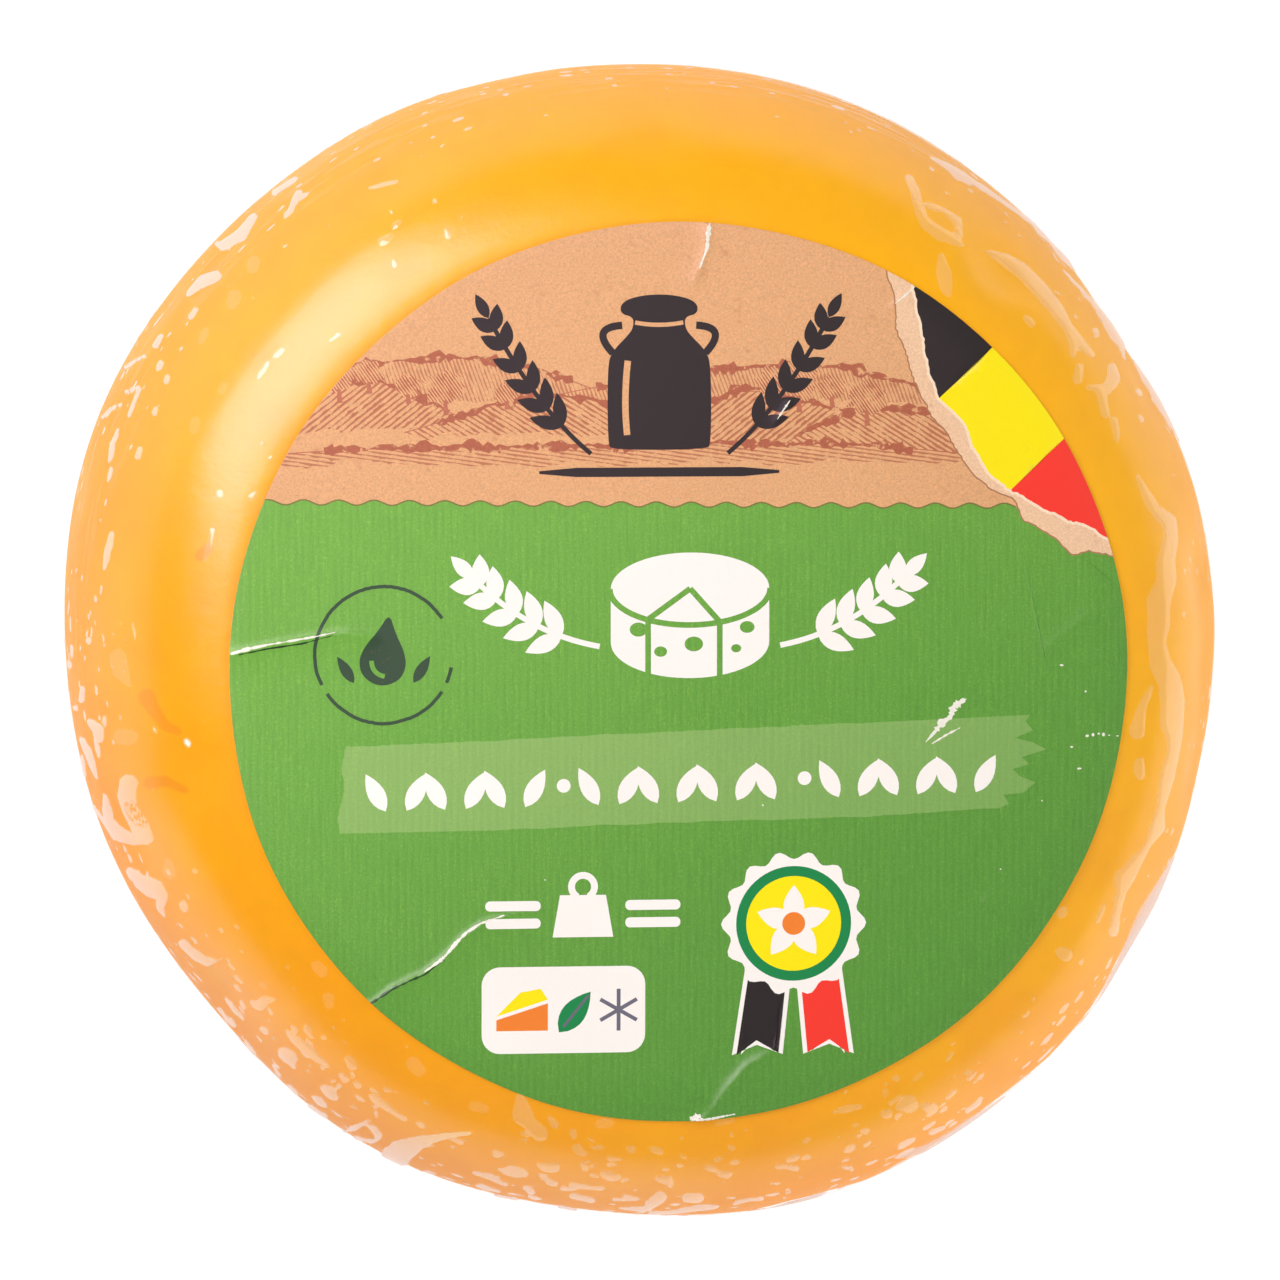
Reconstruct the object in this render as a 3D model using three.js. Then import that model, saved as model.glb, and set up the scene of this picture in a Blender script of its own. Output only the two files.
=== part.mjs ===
// A small wheel of young cheese, shrink-wrapped in clear film, with a round paper label stuck on its top face.
// The wheel and the film that clings to it are one solid. The label and the film's trimmed seal are thin solids of
// their own. Millimetres, +Z up, the origin on the surface that the wheel stands on, under the middle of its outline.
// +Y points to the top of the label's print.

import * as THREE from "three";

// Driving dimensions
const WHEEL_DIAMETER = 130;
const WHEEL_HEIGHT = 66;
const FOOT_RADIUS = 43; // the flat spot that it stands on
const FACE_RADIUS = 45; // where the top face turns into the bulging side
const WAIST_LEVEL = 31.5; // height of the widest place
const CROWN = 0.8; // how much the top face rises from its rim to its middle
const SIDE_POWER = 2.2; // 2 is an ellipse, and more is a squarer shoulder

const LABEL_RADIUS = 48.9;
const LABEL_THICKNESS = 0.3;
const LABEL_CENTRE = new THREE.Vector2(0.6, -1.35); // stuck on a little off the middle
const LABEL_GAP = 0.3;

const SEAM_LEVEL = 31;
const SEAM_THICKNESS = 0.35;
const SEAM_GAP = 0.3;
const SEAM_START = -118; // degrees from +X, seen from above, where the seal begins
const SEAM_END = 82;
const SEAM_STANDS_OUT = 0.75; // mean width of the fin
const SEAM_RIPPLE = 0.45; // how far the fin waves up and down

// How far the outline departs from a circle: [waves in a turn, height in mm, degrees of the first crest]
const UNEVEN_OUTLINE = [
  [2, 0.78, 135],
  [3, 0.26, 46],
  [5, 0.15, 15],
  [6, 0.16, 4],
  [9, 0.1, 22],
];
const WAIST_WANDER = 1.1; // how far the widest place wanders up and down
const FACE_WAVE = 0.22; // slow rise and fall of the top face

// Dents pressed in by a finger or a neighbour: [degrees from +X, level, depth, size], in mm
const PRESSED_DENTS = [
  [49, 60.5, 0.9, 4.2],
  [92, 61, 0.45, 4],
  [193, 62, 0.6, 4.5],
  [199, 52, 0.5, 5.5],
  [8, 53, 0.75, 5.5],
  [-2, 52, 0.85, 6],
  [-12, 51, 0.6, 5],
  [119, 56, 0.4, 5],
  [222, 45, 0.8, 9],
  [33, 40, 0.8, 9],
];
const SMALL_DENTS = 34; // spread over the side by the golden angle
const SMALL_DENT_DEPTH = [0.18, 0.5];
const SMALL_DENT_SIZE = [3.6, 6.6];
const DENT_LEVELS = [7, 56];

// Mesh steps
const STEPS_AROUND = 100;
const STEPS_FOOT = 4;
const STEPS_LOWER_SIDE = 13;
const STEPS_UPPER_SIDE = 14;
const STEPS_TOP = 5;
const LABEL_STEPS_AROUND = 90;
const LABEL_RING_RADII = [0, 14, 28, 38, 42.5, 45, 47, LABEL_RADIUS];
const SEAM_STEPS = 110;

const WHEEL_RADIUS = WHEEL_DIAMETER / 2;
const SHOULDER_LEVEL = WHEEL_HEIGHT - CROWN;
const SPINE_RADIUS = 30; // the ring inside the wheel that dents point to
const GOLDEN_ANGLE = 137.50776;
const FLAT_FOOT = 0.5; // below this level nothing is uneven
const radians = THREE.MathUtils.degToRad;
const lerp = THREE.MathUtils.lerp;
const fraction = (x) => x - Math.floor(x);

// A point on the quarter of a superellipse between a face and the waist. turn runs from 0 at the waist to 1 at the face.
function sidePoint(turn, faceRadius, faceLevel) {
  const angle = (turn * Math.PI) / 2;
  const out = Math.max(Math.cos(angle), 0) ** (2 / SIDE_POWER);
  const along = Math.sin(angle) ** (2 / SIDE_POWER);
  const radius = lerp(faceRadius, WHEEL_RADIUS, out);
  return new THREE.Vector2(radius, lerp(WAIST_LEVEL, faceLevel, along));
}

function crownLevel(radius) {
  return WHEEL_HEIGHT - CROWN * (radius / FACE_RADIUS) ** 2;
}

// The wheel's section, from the middle of the foot out round the side to the middle of the top.
function wheelProfile() {
  const points = [];
  for (let i = 0; i < STEPS_FOOT; i++) points.push(new THREE.Vector2((FOOT_RADIUS * i) / STEPS_FOOT, 0));
  for (let i = STEPS_LOWER_SIDE; i > 0; i--) points.push(sidePoint(i / STEPS_LOWER_SIDE, FOOT_RADIUS, 0));
  for (let i = 0; i < STEPS_UPPER_SIDE; i++) {
    points.push(sidePoint(i / STEPS_UPPER_SIDE, FACE_RADIUS, SHOULDER_LEVEL));
  }
  for (let i = STEPS_TOP; i >= 0; i--) {
    const radius = (FACE_RADIUS * i) / STEPS_TOP;
    points.push(new THREE.Vector2(radius, crownLevel(radius)));
  }
  return points;
}

function outlineBulge(angle) {
  return UNEVEN_OUTLINE.reduce((sum, [waves, height, crest]) => {
    return sum + height * Math.cos(waves * (angle - radians(crest)));
  }, 0);
}

// How much of the outline's unevenness reaches in to this radius.
function bulgeShare(radius) {
  return (radius / WHEEL_RADIUS) ** 2;
}

// How far a place on the even wheel is shifted up: the wander of the waist and the slow wave of the top face.
function rise(x, y, level) {
  const up = level / WHEEL_HEIGHT;
  const wander = WAIST_WANDER * Math.sin(Math.PI * up) * Math.sin(Math.atan2(y, x) + 0.7);
  const wave = FACE_WAVE * Math.sin(x / 17 + 0.6) * Math.cos(y / 21 - 0.4);
  return wander * bulgeShare(Math.hypot(x, y)) + wave * up ** 6;
}

// The side's radius at a level, before it is made uneven.
function sideRadius(level) {
  const [faceRadius, reach] =
    level < WAIST_LEVEL ? [FOOT_RADIUS, WAIST_LEVEL] : [FACE_RADIUS, SHOULDER_LEVEL - WAIST_LEVEL];
  const up = Math.min(Math.abs(level - WAIST_LEVEL) / reach, 1);
  return lerp(faceRadius, WHEEL_RADIUS, (1 - up ** SIDE_POWER) ** (1 / SIDE_POWER));
}

function dentAt(degrees, level, depth, size) {
  const angle = radians(degrees);
  const radius = sideRadius(level) + bulgeShare(WHEEL_RADIUS) * outlineBulge(angle);
  const place = new THREE.Vector3(radius * Math.cos(angle), radius * Math.sin(angle), level);
  return { place, depth, size };
}

function allDents() {
  const dents = PRESSED_DENTS.map((dent) => dentAt(...dent));
  for (let i = 1; i <= SMALL_DENTS; i++) {
    const level = lerp(...DENT_LEVELS, fraction(i * 0.7548776662));
    const depth = lerp(...SMALL_DENT_DEPTH, fraction(i * 0.5698402910));
    const size = lerp(...SMALL_DENT_SIZE, fraction(i * 0.4142135624));
    dents.push(dentAt(i * GOLDEN_ANGLE, level, depth, size));
  }
  return dents;
}

const DENTS = allDents();

// Moves a point of the even wheel to where it is on the real one.
function makeUneven(point) {
  const radius = Math.hypot(point.x, point.y);
  const angle = Math.atan2(point.y, point.x);
  const wider = radius + bulgeShare(radius) * outlineBulge(angle);
  const moved = new THREE.Vector3(wider * Math.cos(angle), wider * Math.sin(angle), point.z);
  if (point.z < FLAT_FOOT) return moved;
  moved.z += rise(moved.x, moved.y, point.z);
  const spine = new THREE.Vector3(SPINE_RADIUS * Math.cos(angle), SPINE_RADIUS * Math.sin(angle), WHEEL_HEIGHT / 2);
  const inward = spine.sub(moved).normalize();
  const fade = THREE.MathUtils.smoothstep(point.z, FLAT_FOOT, 4);
  const depth = DENTS.reduce((sum, dent) => {
    return sum + dent.depth * Math.exp(-moved.distanceToSquared(dent.place) / dent.size ** 2);
  }, 0);
  return moved.addScaledVector(inward, depth * fade);
}

// Applies a function to each vertex of a geometry and returns the geometry.
function reshape(geometry, change) {
  const position = geometry.getAttribute("position");
  const point = new THREE.Vector3();
  for (let i = 0; i < position.count; i++) {
    const moved = change(point.fromBufferAttribute(position, i));
    position.setXYZ(i, moved.x, moved.y, moved.z);
  }
  geometry.computeVertexNormals();
  return geometry;
}

// A lathe about +Z. Its profile runs outwards below and inwards above.
function turned(profile, stepsAround) {
  return new THREE.LatheGeometry(profile, stepsAround).rotateX(Math.PI / 2);
}

function wrappedWheel() {
  const rind = new THREE.MeshStandardMaterial({ color: 0xf9ac2c, roughness: 0.22, metalness: 0 });
  const wheel = new THREE.Mesh(reshape(turned(wheelProfile(), STEPS_AROUND), makeUneven), rind);
  wheel.name = "wrapped_wheel";
  return wheel;
}

// Height of the wheel's top face over a place within the label, dents left out.
function topLevel(x, y) {
  const radius = Math.hypot(x, y);
  const angle = Math.atan2(y, x);
  const even = radius - bulgeShare(radius) * outlineBulge(angle);
  const out = Math.max((even - FACE_RADIUS) / (WHEEL_RADIUS - FACE_RADIUS), 0);
  const up = (1 - out ** SIDE_POWER) ** (1 / SIDE_POWER);
  const level = even <= FACE_RADIUS ? crownLevel(even) : lerp(WAIST_LEVEL, SHOULDER_LEVEL, up);
  return level + rise(x, y, level);
}

function labelDisc() {
  const underside = LABEL_RING_RADII.map((radius) => new THREE.Vector2(radius, 0));
  const face = LABEL_RING_RADII.map((radius) => new THREE.Vector2(radius, LABEL_THICKNESS));
  const profile = [...underside, ...face.reverse()];
  const paper = new THREE.MeshStandardMaterial({ color: 0x6fae45, roughness: 0.5, metalness: 0 });
  const disc = reshape(turned(profile, LABEL_STEPS_AROUND), (point) => {
    const x = point.x + LABEL_CENTRE.x;
    const y = point.y + LABEL_CENTRE.y;
    return new THREE.Vector3(x, y, point.z + topLevel(x, y) + LABEL_GAP);
  });
  const label = new THREE.Mesh(disc, paper);
  label.name = "label";
  return label;
}

// How far the trimmed seal stands out at an angle in degrees. It dies away at both ends.
function seamWidth(degrees) {
  const along = (degrees - SEAM_START) / (SEAM_END - SEAM_START);
  const ends = Math.sin(Math.PI * along) ** 0.35;
  const ragged = 0.3 * Math.sin(degrees / 5.3) + 0.22 * Math.sin(degrees / 2.1 + 1) + 0.25 * Math.sin(degrees / 13);
  return SEAM_STANDS_OUT * Math.max(ends * (1 + ragged), 0.25);
}

// The heat-sealed, trimmed edge of the film: a narrow wavy fin along one side of the waist.
function filmSeam() {
  const inner = [];
  const outer = [];
  for (let i = 0; i <= SEAM_STEPS; i++) {
    const degrees = lerp(SEAM_START, SEAM_END, i / SEAM_STEPS);
    const angle = radians(degrees);
    const foot = sideRadius(SEAM_LEVEL) + outlineBulge(angle) + SEAM_GAP;
    const tip = foot + seamWidth(degrees);
    inner.push(new THREE.Vector2(foot * Math.cos(angle), foot * Math.sin(angle)));
    outer.push(new THREE.Vector2(tip * Math.cos(angle), tip * Math.sin(angle)));
  }
  const outline = new THREE.Shape([...outer, ...inner.reverse()]);
  const strip = new THREE.ExtrudeGeometry(outline, { depth: SEAM_THICKNESS, bevelEnabled: false });
  const wavy = reshape(strip, (point) => {
    const angle = Math.atan2(point.y, point.x);
    const ripple = SEAM_RIPPLE * (Math.sin(9 * angle) + 0.6 * Math.sin(23 * angle + 1));
    return new THREE.Vector3(point.x, point.y, SEAM_LEVEL + point.z + ripple);
  });
  const film = new THREE.MeshStandardMaterial({ color: 0xf3e6d6, roughness: 0.08, metalness: 0 });
  film.transparent = true;
  film.opacity = 0.4;
  const seam = new THREE.Mesh(wavy, film);
  seam.name = "film_seam";
  return seam;
}

const wheel = new THREE.Group();
wheel.add(wrappedWheel(), labelDisc(), filmSeam());

// The origin lies under the middle of the whole outline, fin included.
const middle = new THREE.Box3().setFromObject(wheel).getCenter(new THREE.Vector3());
wheel.position.set(-middle.x, -middle.y, 0);

export default wheel;
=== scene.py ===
"""A small wheel of young cheese in tight clear film, with a round paper label, lying on a pale floor.

The script goes from the object outwards: the wheel's form, its rind and film, the label and its print, the
trimmed seal of the film, and last the lights, floor and camera. Forms are worked out in millimetres, with the
wheel's own centre as origin, and each mesh is moved into the frame and turned into metres when it is made.
"""

import math

import bpy
import numpy as np
from mathutils import Matrix, Vector, geometry


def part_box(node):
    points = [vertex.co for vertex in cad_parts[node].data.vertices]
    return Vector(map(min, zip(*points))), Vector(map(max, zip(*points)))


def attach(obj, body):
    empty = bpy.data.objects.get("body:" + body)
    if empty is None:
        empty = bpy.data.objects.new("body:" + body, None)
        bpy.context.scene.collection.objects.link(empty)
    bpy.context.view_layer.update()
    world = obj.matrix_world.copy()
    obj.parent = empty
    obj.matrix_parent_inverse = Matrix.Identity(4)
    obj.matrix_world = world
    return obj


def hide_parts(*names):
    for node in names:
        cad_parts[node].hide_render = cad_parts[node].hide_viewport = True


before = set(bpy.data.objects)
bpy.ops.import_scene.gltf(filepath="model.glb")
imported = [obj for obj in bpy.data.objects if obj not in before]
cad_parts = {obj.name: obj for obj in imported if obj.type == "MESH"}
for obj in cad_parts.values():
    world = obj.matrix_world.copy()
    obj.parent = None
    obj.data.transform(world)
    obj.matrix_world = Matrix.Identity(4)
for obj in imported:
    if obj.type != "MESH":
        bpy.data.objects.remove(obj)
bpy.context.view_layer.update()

MM = 0.001

# The wheel's form, the same driving dimensions as its solid, in millimetres
WHEEL_RADIUS = 65.0
WHEEL_HEIGHT = 66.0
FOOT_RADIUS = 43.0
FACE_RADIUS = 45.0
WAIST_LEVEL = 31.5
CROWN = 0.8
SIDE_POWER = 2.2
SHOULDER_LEVEL = WHEEL_HEIGHT - CROWN
SPINE_RADIUS = 30.0
FLAT_FOOT = 0.5
WAIST_WANDER = 1.1
WANDER_START = 0.7  # radians
FACE_WAVE = 0.22
FACE_WAVE_ACROSS = (17, 0.6)  # its length over 2 pi, and where it starts
FACE_WAVE_UP = (21, -0.4)
FACE_WAVE_FADE = 6  # power of the level by which the wave dies away down the side
UNEVEN_OUTLINE = [
    # waves round the wheel, their height, and the degrees of a crest
    (2, 0.8, 128), (3, 0.25, 44), (4, 0.08, 50), (5, 0.15, 15), (6, 0.12, 1), (8, 0.14, 18), (9, 0.11, 1),
]
PRESSED_DENTS = [
    # degrees round the wheel, level, depth and size
    (49, 60.5, 0.9, 4.2), (92, 61, 0.45, 4), (193, 62, 0.6, 4.5), (199, 52, 0.5, 5.5), (8, 53, 0.75, 5.5),
    (-2, 52, 0.85, 6), (-12, 51, 0.6, 5), (119, 56, 0.4, 5), (222, 45, 0.8, 9), (33, 40, 0.8, 9),
]
SMALL_DENTS = 34
SMALL_DENT_DEPTH = (0.18, 0.5)
SMALL_DENT_SIZE = (3.6, 6.6)
DENT_LEVELS = (7, 56)
GOLDEN_ANGLE = 137.50776
# Steps that spread the small dents' levels, depths and sizes evenly
LEVEL_STEP, DEPTH_STEP, SIZE_STEP = 0.7548776662, 0.5698402910, 0.4142135624
DENT_FREE_FOOT = 4

# Label
LABEL_RADIUS = 48.9
LABEL_CENTRE = np.array([1.2, -1.15])
PAPER_THICKNESS = 0.15

FILM_GAP = 0.12  # how far the film lies off the rind

# The wheel's skin as a grid: points round it, rows up its section, and the radius of the ring next to a pole
AROUND = 750
FOOT_ROWS = 6
LOWER_ROWS = 24
UPPER_ROWS = 94
FACE_ROWS = 7
POLE_RING = 0.5

# Camera, from the size and flattening of the label's outline in the photograph
PHOTO_SIZE = 1280
CAMERA_DISTANCE = 0.75
CAMERA_TILT = math.radians(7.4)
CAMERA_AZIMUTH = math.radians(141)
CAMERA_TARGET = Vector((-0.00065, 0.00057, 0.033))
FOCAL_PIXELS = 6637
SENSOR_WIDTH = 36.0

TURN = 2 * math.pi


# Numbers and curves


def smoothstep(low, high, x):
    t = np.clip((x - low) / (high - low), 0, 1)
    return t * t * (3 - 2 * t)


def mix(a, b, t):
    return a + (b - a) * t


def distance_to_path(points, path):
    """How far each 2-D point lies outside a path of (x, y, half width), and its place along it, 0 to 1."""
    path = np.asarray(path, float)
    best = np.full(len(points), 1e9)
    along = np.zeros(len(points))
    for i, (start, end) in enumerate(zip(path[:-1], path[1:])):
        step = end[:2] - start[:2]
        t = np.clip((points - start[:2]) @ step / max(step @ step, 1e-9), 0, 1)
        away = np.hypot(*(points - start[:2] - t[:, None] * step).T) - mix(start[2], end[2], t)
        nearer = away < best
        best = np.where(nearer, away, best)
        along = np.where(nearer, (i + t) / (len(path) - 1), along)
    return best, along


# The wheel's form


def side_radius(level):
    """The even wheel's radius at a level of its side."""
    reach = np.where(level < WAIST_LEVEL, WAIST_LEVEL, SHOULDER_LEVEL - WAIST_LEVEL)
    face = np.where(level < WAIST_LEVEL, FOOT_RADIUS, FACE_RADIUS)
    up = np.clip(np.abs(level - WAIST_LEVEL) / reach, 0, 1)
    return mix(face, WHEEL_RADIUS, (1 - up**SIDE_POWER) ** (1 / SIDE_POWER))


def outline_bulge(angle):
    """How far the waist stands out from the even circle."""
    crests = ((waves, height, math.radians(crest)) for waves, height, crest in UNEVEN_OUTLINE)
    return sum(height * np.cos(waves * (angle - crest)) for waves, height, crest in crests)


def bulge_share(radius):
    """The share of the waist's unevenness that reaches in to a radius."""
    return (radius / WHEEL_RADIUS) ** 2


def rise(x, y, level):
    """How far the skin is raised: the waist wanders up and down, and the face is wavy."""
    up = level / WHEEL_HEIGHT
    wander = WAIST_WANDER * np.sin(np.pi * up) * np.sin(np.arctan2(y, x) + WANDER_START)
    (across, across_start), (along, along_start) = FACE_WAVE_ACROSS, FACE_WAVE_UP
    wave = FACE_WAVE * np.sin(x / across + across_start) * np.cos(y / along + along_start)
    return wander * bulge_share(np.hypot(x, y)) + wave * up**FACE_WAVE_FADE


def all_dents():
    """Each dent's place, depth and size: the ones pressed in, and small ones spread by the golden angle."""
    rows = list(PRESSED_DENTS)
    for i in range(1, SMALL_DENTS + 1):
        level = mix(*DENT_LEVELS, i * LEVEL_STEP % 1)
        depth = mix(*SMALL_DENT_DEPTH, i * DEPTH_STEP % 1)
        rows.append((i * GOLDEN_ANGLE, level, depth, mix(*SMALL_DENT_SIZE, i * SIZE_STEP % 1)))
    dents = []
    for degrees, level, depth, size in rows:
        angle = math.radians(degrees)
        radius = side_radius(np.float64(level)) + outline_bulge(angle)
        dents.append((np.array([radius * math.cos(angle), radius * math.sin(angle), level]), depth, size))
    return dents


def make_uneven(points):
    """Moves points of the even wheel to where they are on the real one."""
    radius = np.hypot(points[:, 0], points[:, 1])
    angle = np.arctan2(points[:, 1], points[:, 0])
    wider = radius + bulge_share(radius) * outline_bulge(angle)
    moved = np.stack([wider * np.cos(angle), wider * np.sin(angle), points[:, 2]], 1)
    above_foot = points[:, 2] >= FLAT_FOOT
    moved[:, 2] += np.where(above_foot, rise(moved[:, 0], moved[:, 1], points[:, 2]), 0)
    half_height = np.full_like(angle, WHEEL_HEIGHT / 2)
    spine = np.stack([SPINE_RADIUS * np.cos(angle), SPINE_RADIUS * np.sin(angle), half_height], 1)
    inward = spine - moved
    inward /= np.linalg.norm(inward, axis=1, keepdims=True)
    depth = np.zeros(len(points))
    for place, deep, size in all_dents():
        depth += deep * np.exp(-((moved - place) ** 2).sum(1) / size**2)
    fade = smoothstep(FLAT_FOOT, DENT_FREE_FOOT, points[:, 2])
    return moved + inward * (depth * fade)[:, None]


def top_level(x, y):
    """Height of the wheel's top face at a place within the label, dents left out."""
    radius = np.hypot(x, y)
    even = radius - bulge_share(radius) * outline_bulge(np.arctan2(y, x))
    out = np.clip((even - FACE_RADIUS) / (WHEEL_RADIUS - FACE_RADIUS), 0, 1)
    shoulder = mix(WAIST_LEVEL, SHOULDER_LEVEL, (1 - out**SIDE_POWER) ** (1 / SIDE_POWER))
    level = np.where(even <= FACE_RADIUS, WHEEL_HEIGHT - CROWN * (even / FACE_RADIUS) ** 2, shoulder)
    return level + rise(x, y, level)


def wheel_profile():
    """Radius, level and length along the section, from the foot's middle out and up to the top's middle."""
    foot = np.linspace(POLE_RING, FOOT_RADIUS, FOOT_ROWS, endpoint=False)
    turn = np.linspace(1, 0, LOWER_ROWS, endpoint=False)
    rows = [(r, 0.0) for r in foot]
    rows += [side_point(t, FOOT_RADIUS, 0.0) for t in turn]
    upper = np.linspace(0, 1, UPPER_ROWS, endpoint=False)
    rows += [side_point(t, FACE_RADIUS, SHOULDER_LEVEL) for t in upper]
    face = np.linspace(FACE_RADIUS, POLE_RING, FACE_ROWS)
    rows += [(r, WHEEL_HEIGHT - CROWN * (r / FACE_RADIUS) ** 2) for r in face]
    profile = np.array(rows)
    steps = np.hypot(*np.diff(profile, axis=0).T)
    return profile[:, 0], profile[:, 1], np.concatenate([[0], np.cumsum(steps)])


def side_point(turn, face_radius, face_level):
    """Radius and level on the side, from the waist at turn 0 to the flat face at turn 1."""
    angle = turn * math.pi / 2
    out = max(math.cos(angle), 0) ** (2 / SIDE_POWER)
    along = math.sin(angle) ** (2 / SIDE_POWER)
    return mix(face_radius, WHEEL_RADIUS, out), mix(WAIST_LEVEL, face_level, along)


class WheelSkin:
    """The wheel's surface as a grid of points, with what the film and the rind both need to know of each."""

    def __init__(self):
        radius, level, length = wheel_profile()
        self.rows = len(radius)
        angle = np.linspace(-np.pi, np.pi, AROUND, endpoint=False)
        self.angle = np.tile(angle, self.rows)
        self.level = np.repeat(level, AROUND)
        self.length = np.repeat(length, AROUND)
        ring = np.repeat(radius, AROUND)
        even = np.stack([ring * np.cos(self.angle), ring * np.sin(self.angle), self.level], 1)
        self.points = make_uneven(even)
        self.normal = self.normals_of(self.points)

    def normals_of(self, points):
        grid = points.reshape(self.rows, AROUND, 3)
        across = np.roll(grid, -1, 1) - np.roll(grid, 1, 1)
        along = np.gradient(grid, axis=0)
        normal = np.cross(across, along)
        normal /= np.linalg.norm(normal, axis=2, keepdims=True)
        return normal.reshape(-1, 3)

    def faces(self):
        """Quads between the rings, and a fan of triangles at each pole."""
        quads = []
        for row in range(self.rows - 1):
            here = row * AROUND + np.arange(AROUND)
            ahead = row * AROUND + (np.arange(AROUND) + 1) % AROUND
            quads.append(np.stack([here, ahead, ahead + AROUND, here + AROUND], 1))
        ring = np.arange(AROUND)
        ahead = (ring + 1) % AROUND
        last = (self.rows - 1) * AROUND
        pole = self.rows * AROUND
        foot = [(int(b), int(a), pole) for a, b in zip(ring, ahead)]
        top = [(int(a) + last, int(b) + last, pole + 1) for a, b in zip(ring, ahead)]
        return [tuple(q) for q in np.concatenate(quads).tolist()] + foot + top

    def with_poles(self, values):
        """Adds a value for each pole: the mean of its ring."""
        return np.concatenate([values, [values[:AROUND].mean(0)], [values[-AROUND:].mean(0)]])


SKIN = WheelSkin()

# From the wheel's own centre to the frame's origin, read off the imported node's box
low, high = (np.array(corner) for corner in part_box("wrapped_wheel"))
OFFSET = (low + high) / 2 / MM - (SKIN.points.min(0) + SKIN.points.max(0)) / 2
OFFSET[2] = 0


# Where a point shows in the photograph


def camera_axes():
    away = Vector((
        math.cos(CAMERA_AZIMUTH) * math.sin(CAMERA_TILT),
        math.sin(CAMERA_AZIMUTH) * math.sin(CAMERA_TILT),
        math.cos(CAMERA_TILT),
    ))
    forward = -away
    right = forward.cross(Vector((0, 1, 0))).normalized()
    return CAMERA_TARGET + away * CAMERA_DISTANCE, forward, right, right.cross(forward)


def in_photo(points):
    """Photograph pixels of points given in the wheel's own millimetres."""
    place, forward, right, up = (np.array(v) for v in camera_axes())
    seen = (points + OFFSET) * MM - place
    depth = seen @ forward
    across, down = FOCAL_PIXELS * (seen @ right) / depth, -FOCAL_PIXELS * (seen @ up) / depth
    return np.stack([PHOTO_SIZE / 2 + across, PHOTO_SIZE / 2 + down], 1)


# Materials


def srgb(red, green, blue):
    """A colour in linear light, from the 0 to 255 values that an eye dropper gives."""
    channels = [c / 255 for c in (red, green, blue)]
    return tuple(c / 12.92 if c <= 0.04045 else ((c + 0.055) / 1.055) ** 2.4 for c in channels)


class Value:
    """A number, colour or vector inside a material. Python's operators on it add Math nodes."""

    def __init__(self, finish, socket):
        self.finish = finish
        self.socket = socket

    def math(self, operation, *others):
        return self.finish.node("ShaderNodeMath", {"operation": operation}, [self, *others])

    def __add__(self, other):
        return self.math("ADD", other)

    __radd__ = __add__

    def __mul__(self, other):
        return self.math("MULTIPLY", other)

    __rmul__ = __mul__

    def __sub__(self, other):
        return self.math("SUBTRACT", other)

    def __rsub__(self, other):
        return self.finish.node("ShaderNodeMath", {"operation": "SUBTRACT"}, [other, self])

    def __pow__(self, other):
        return self.math("POWER", other)

    def most(self, other):
        return self.math("MAXIMUM", other)

    def least(self, other):
        return self.math("MINIMUM", other)

    def sine(self):
        return self.math("SINE")

    def rising(self, low, high):
        """0 below low and 1 above high, with a smooth step between."""
        sockets = {"Value": self, "From Min": low, "From Max": high}
        return self.finish.node("ShaderNodeMapRange", {"interpolation_type": "SMOOTHSTEP"}, sockets)


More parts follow.
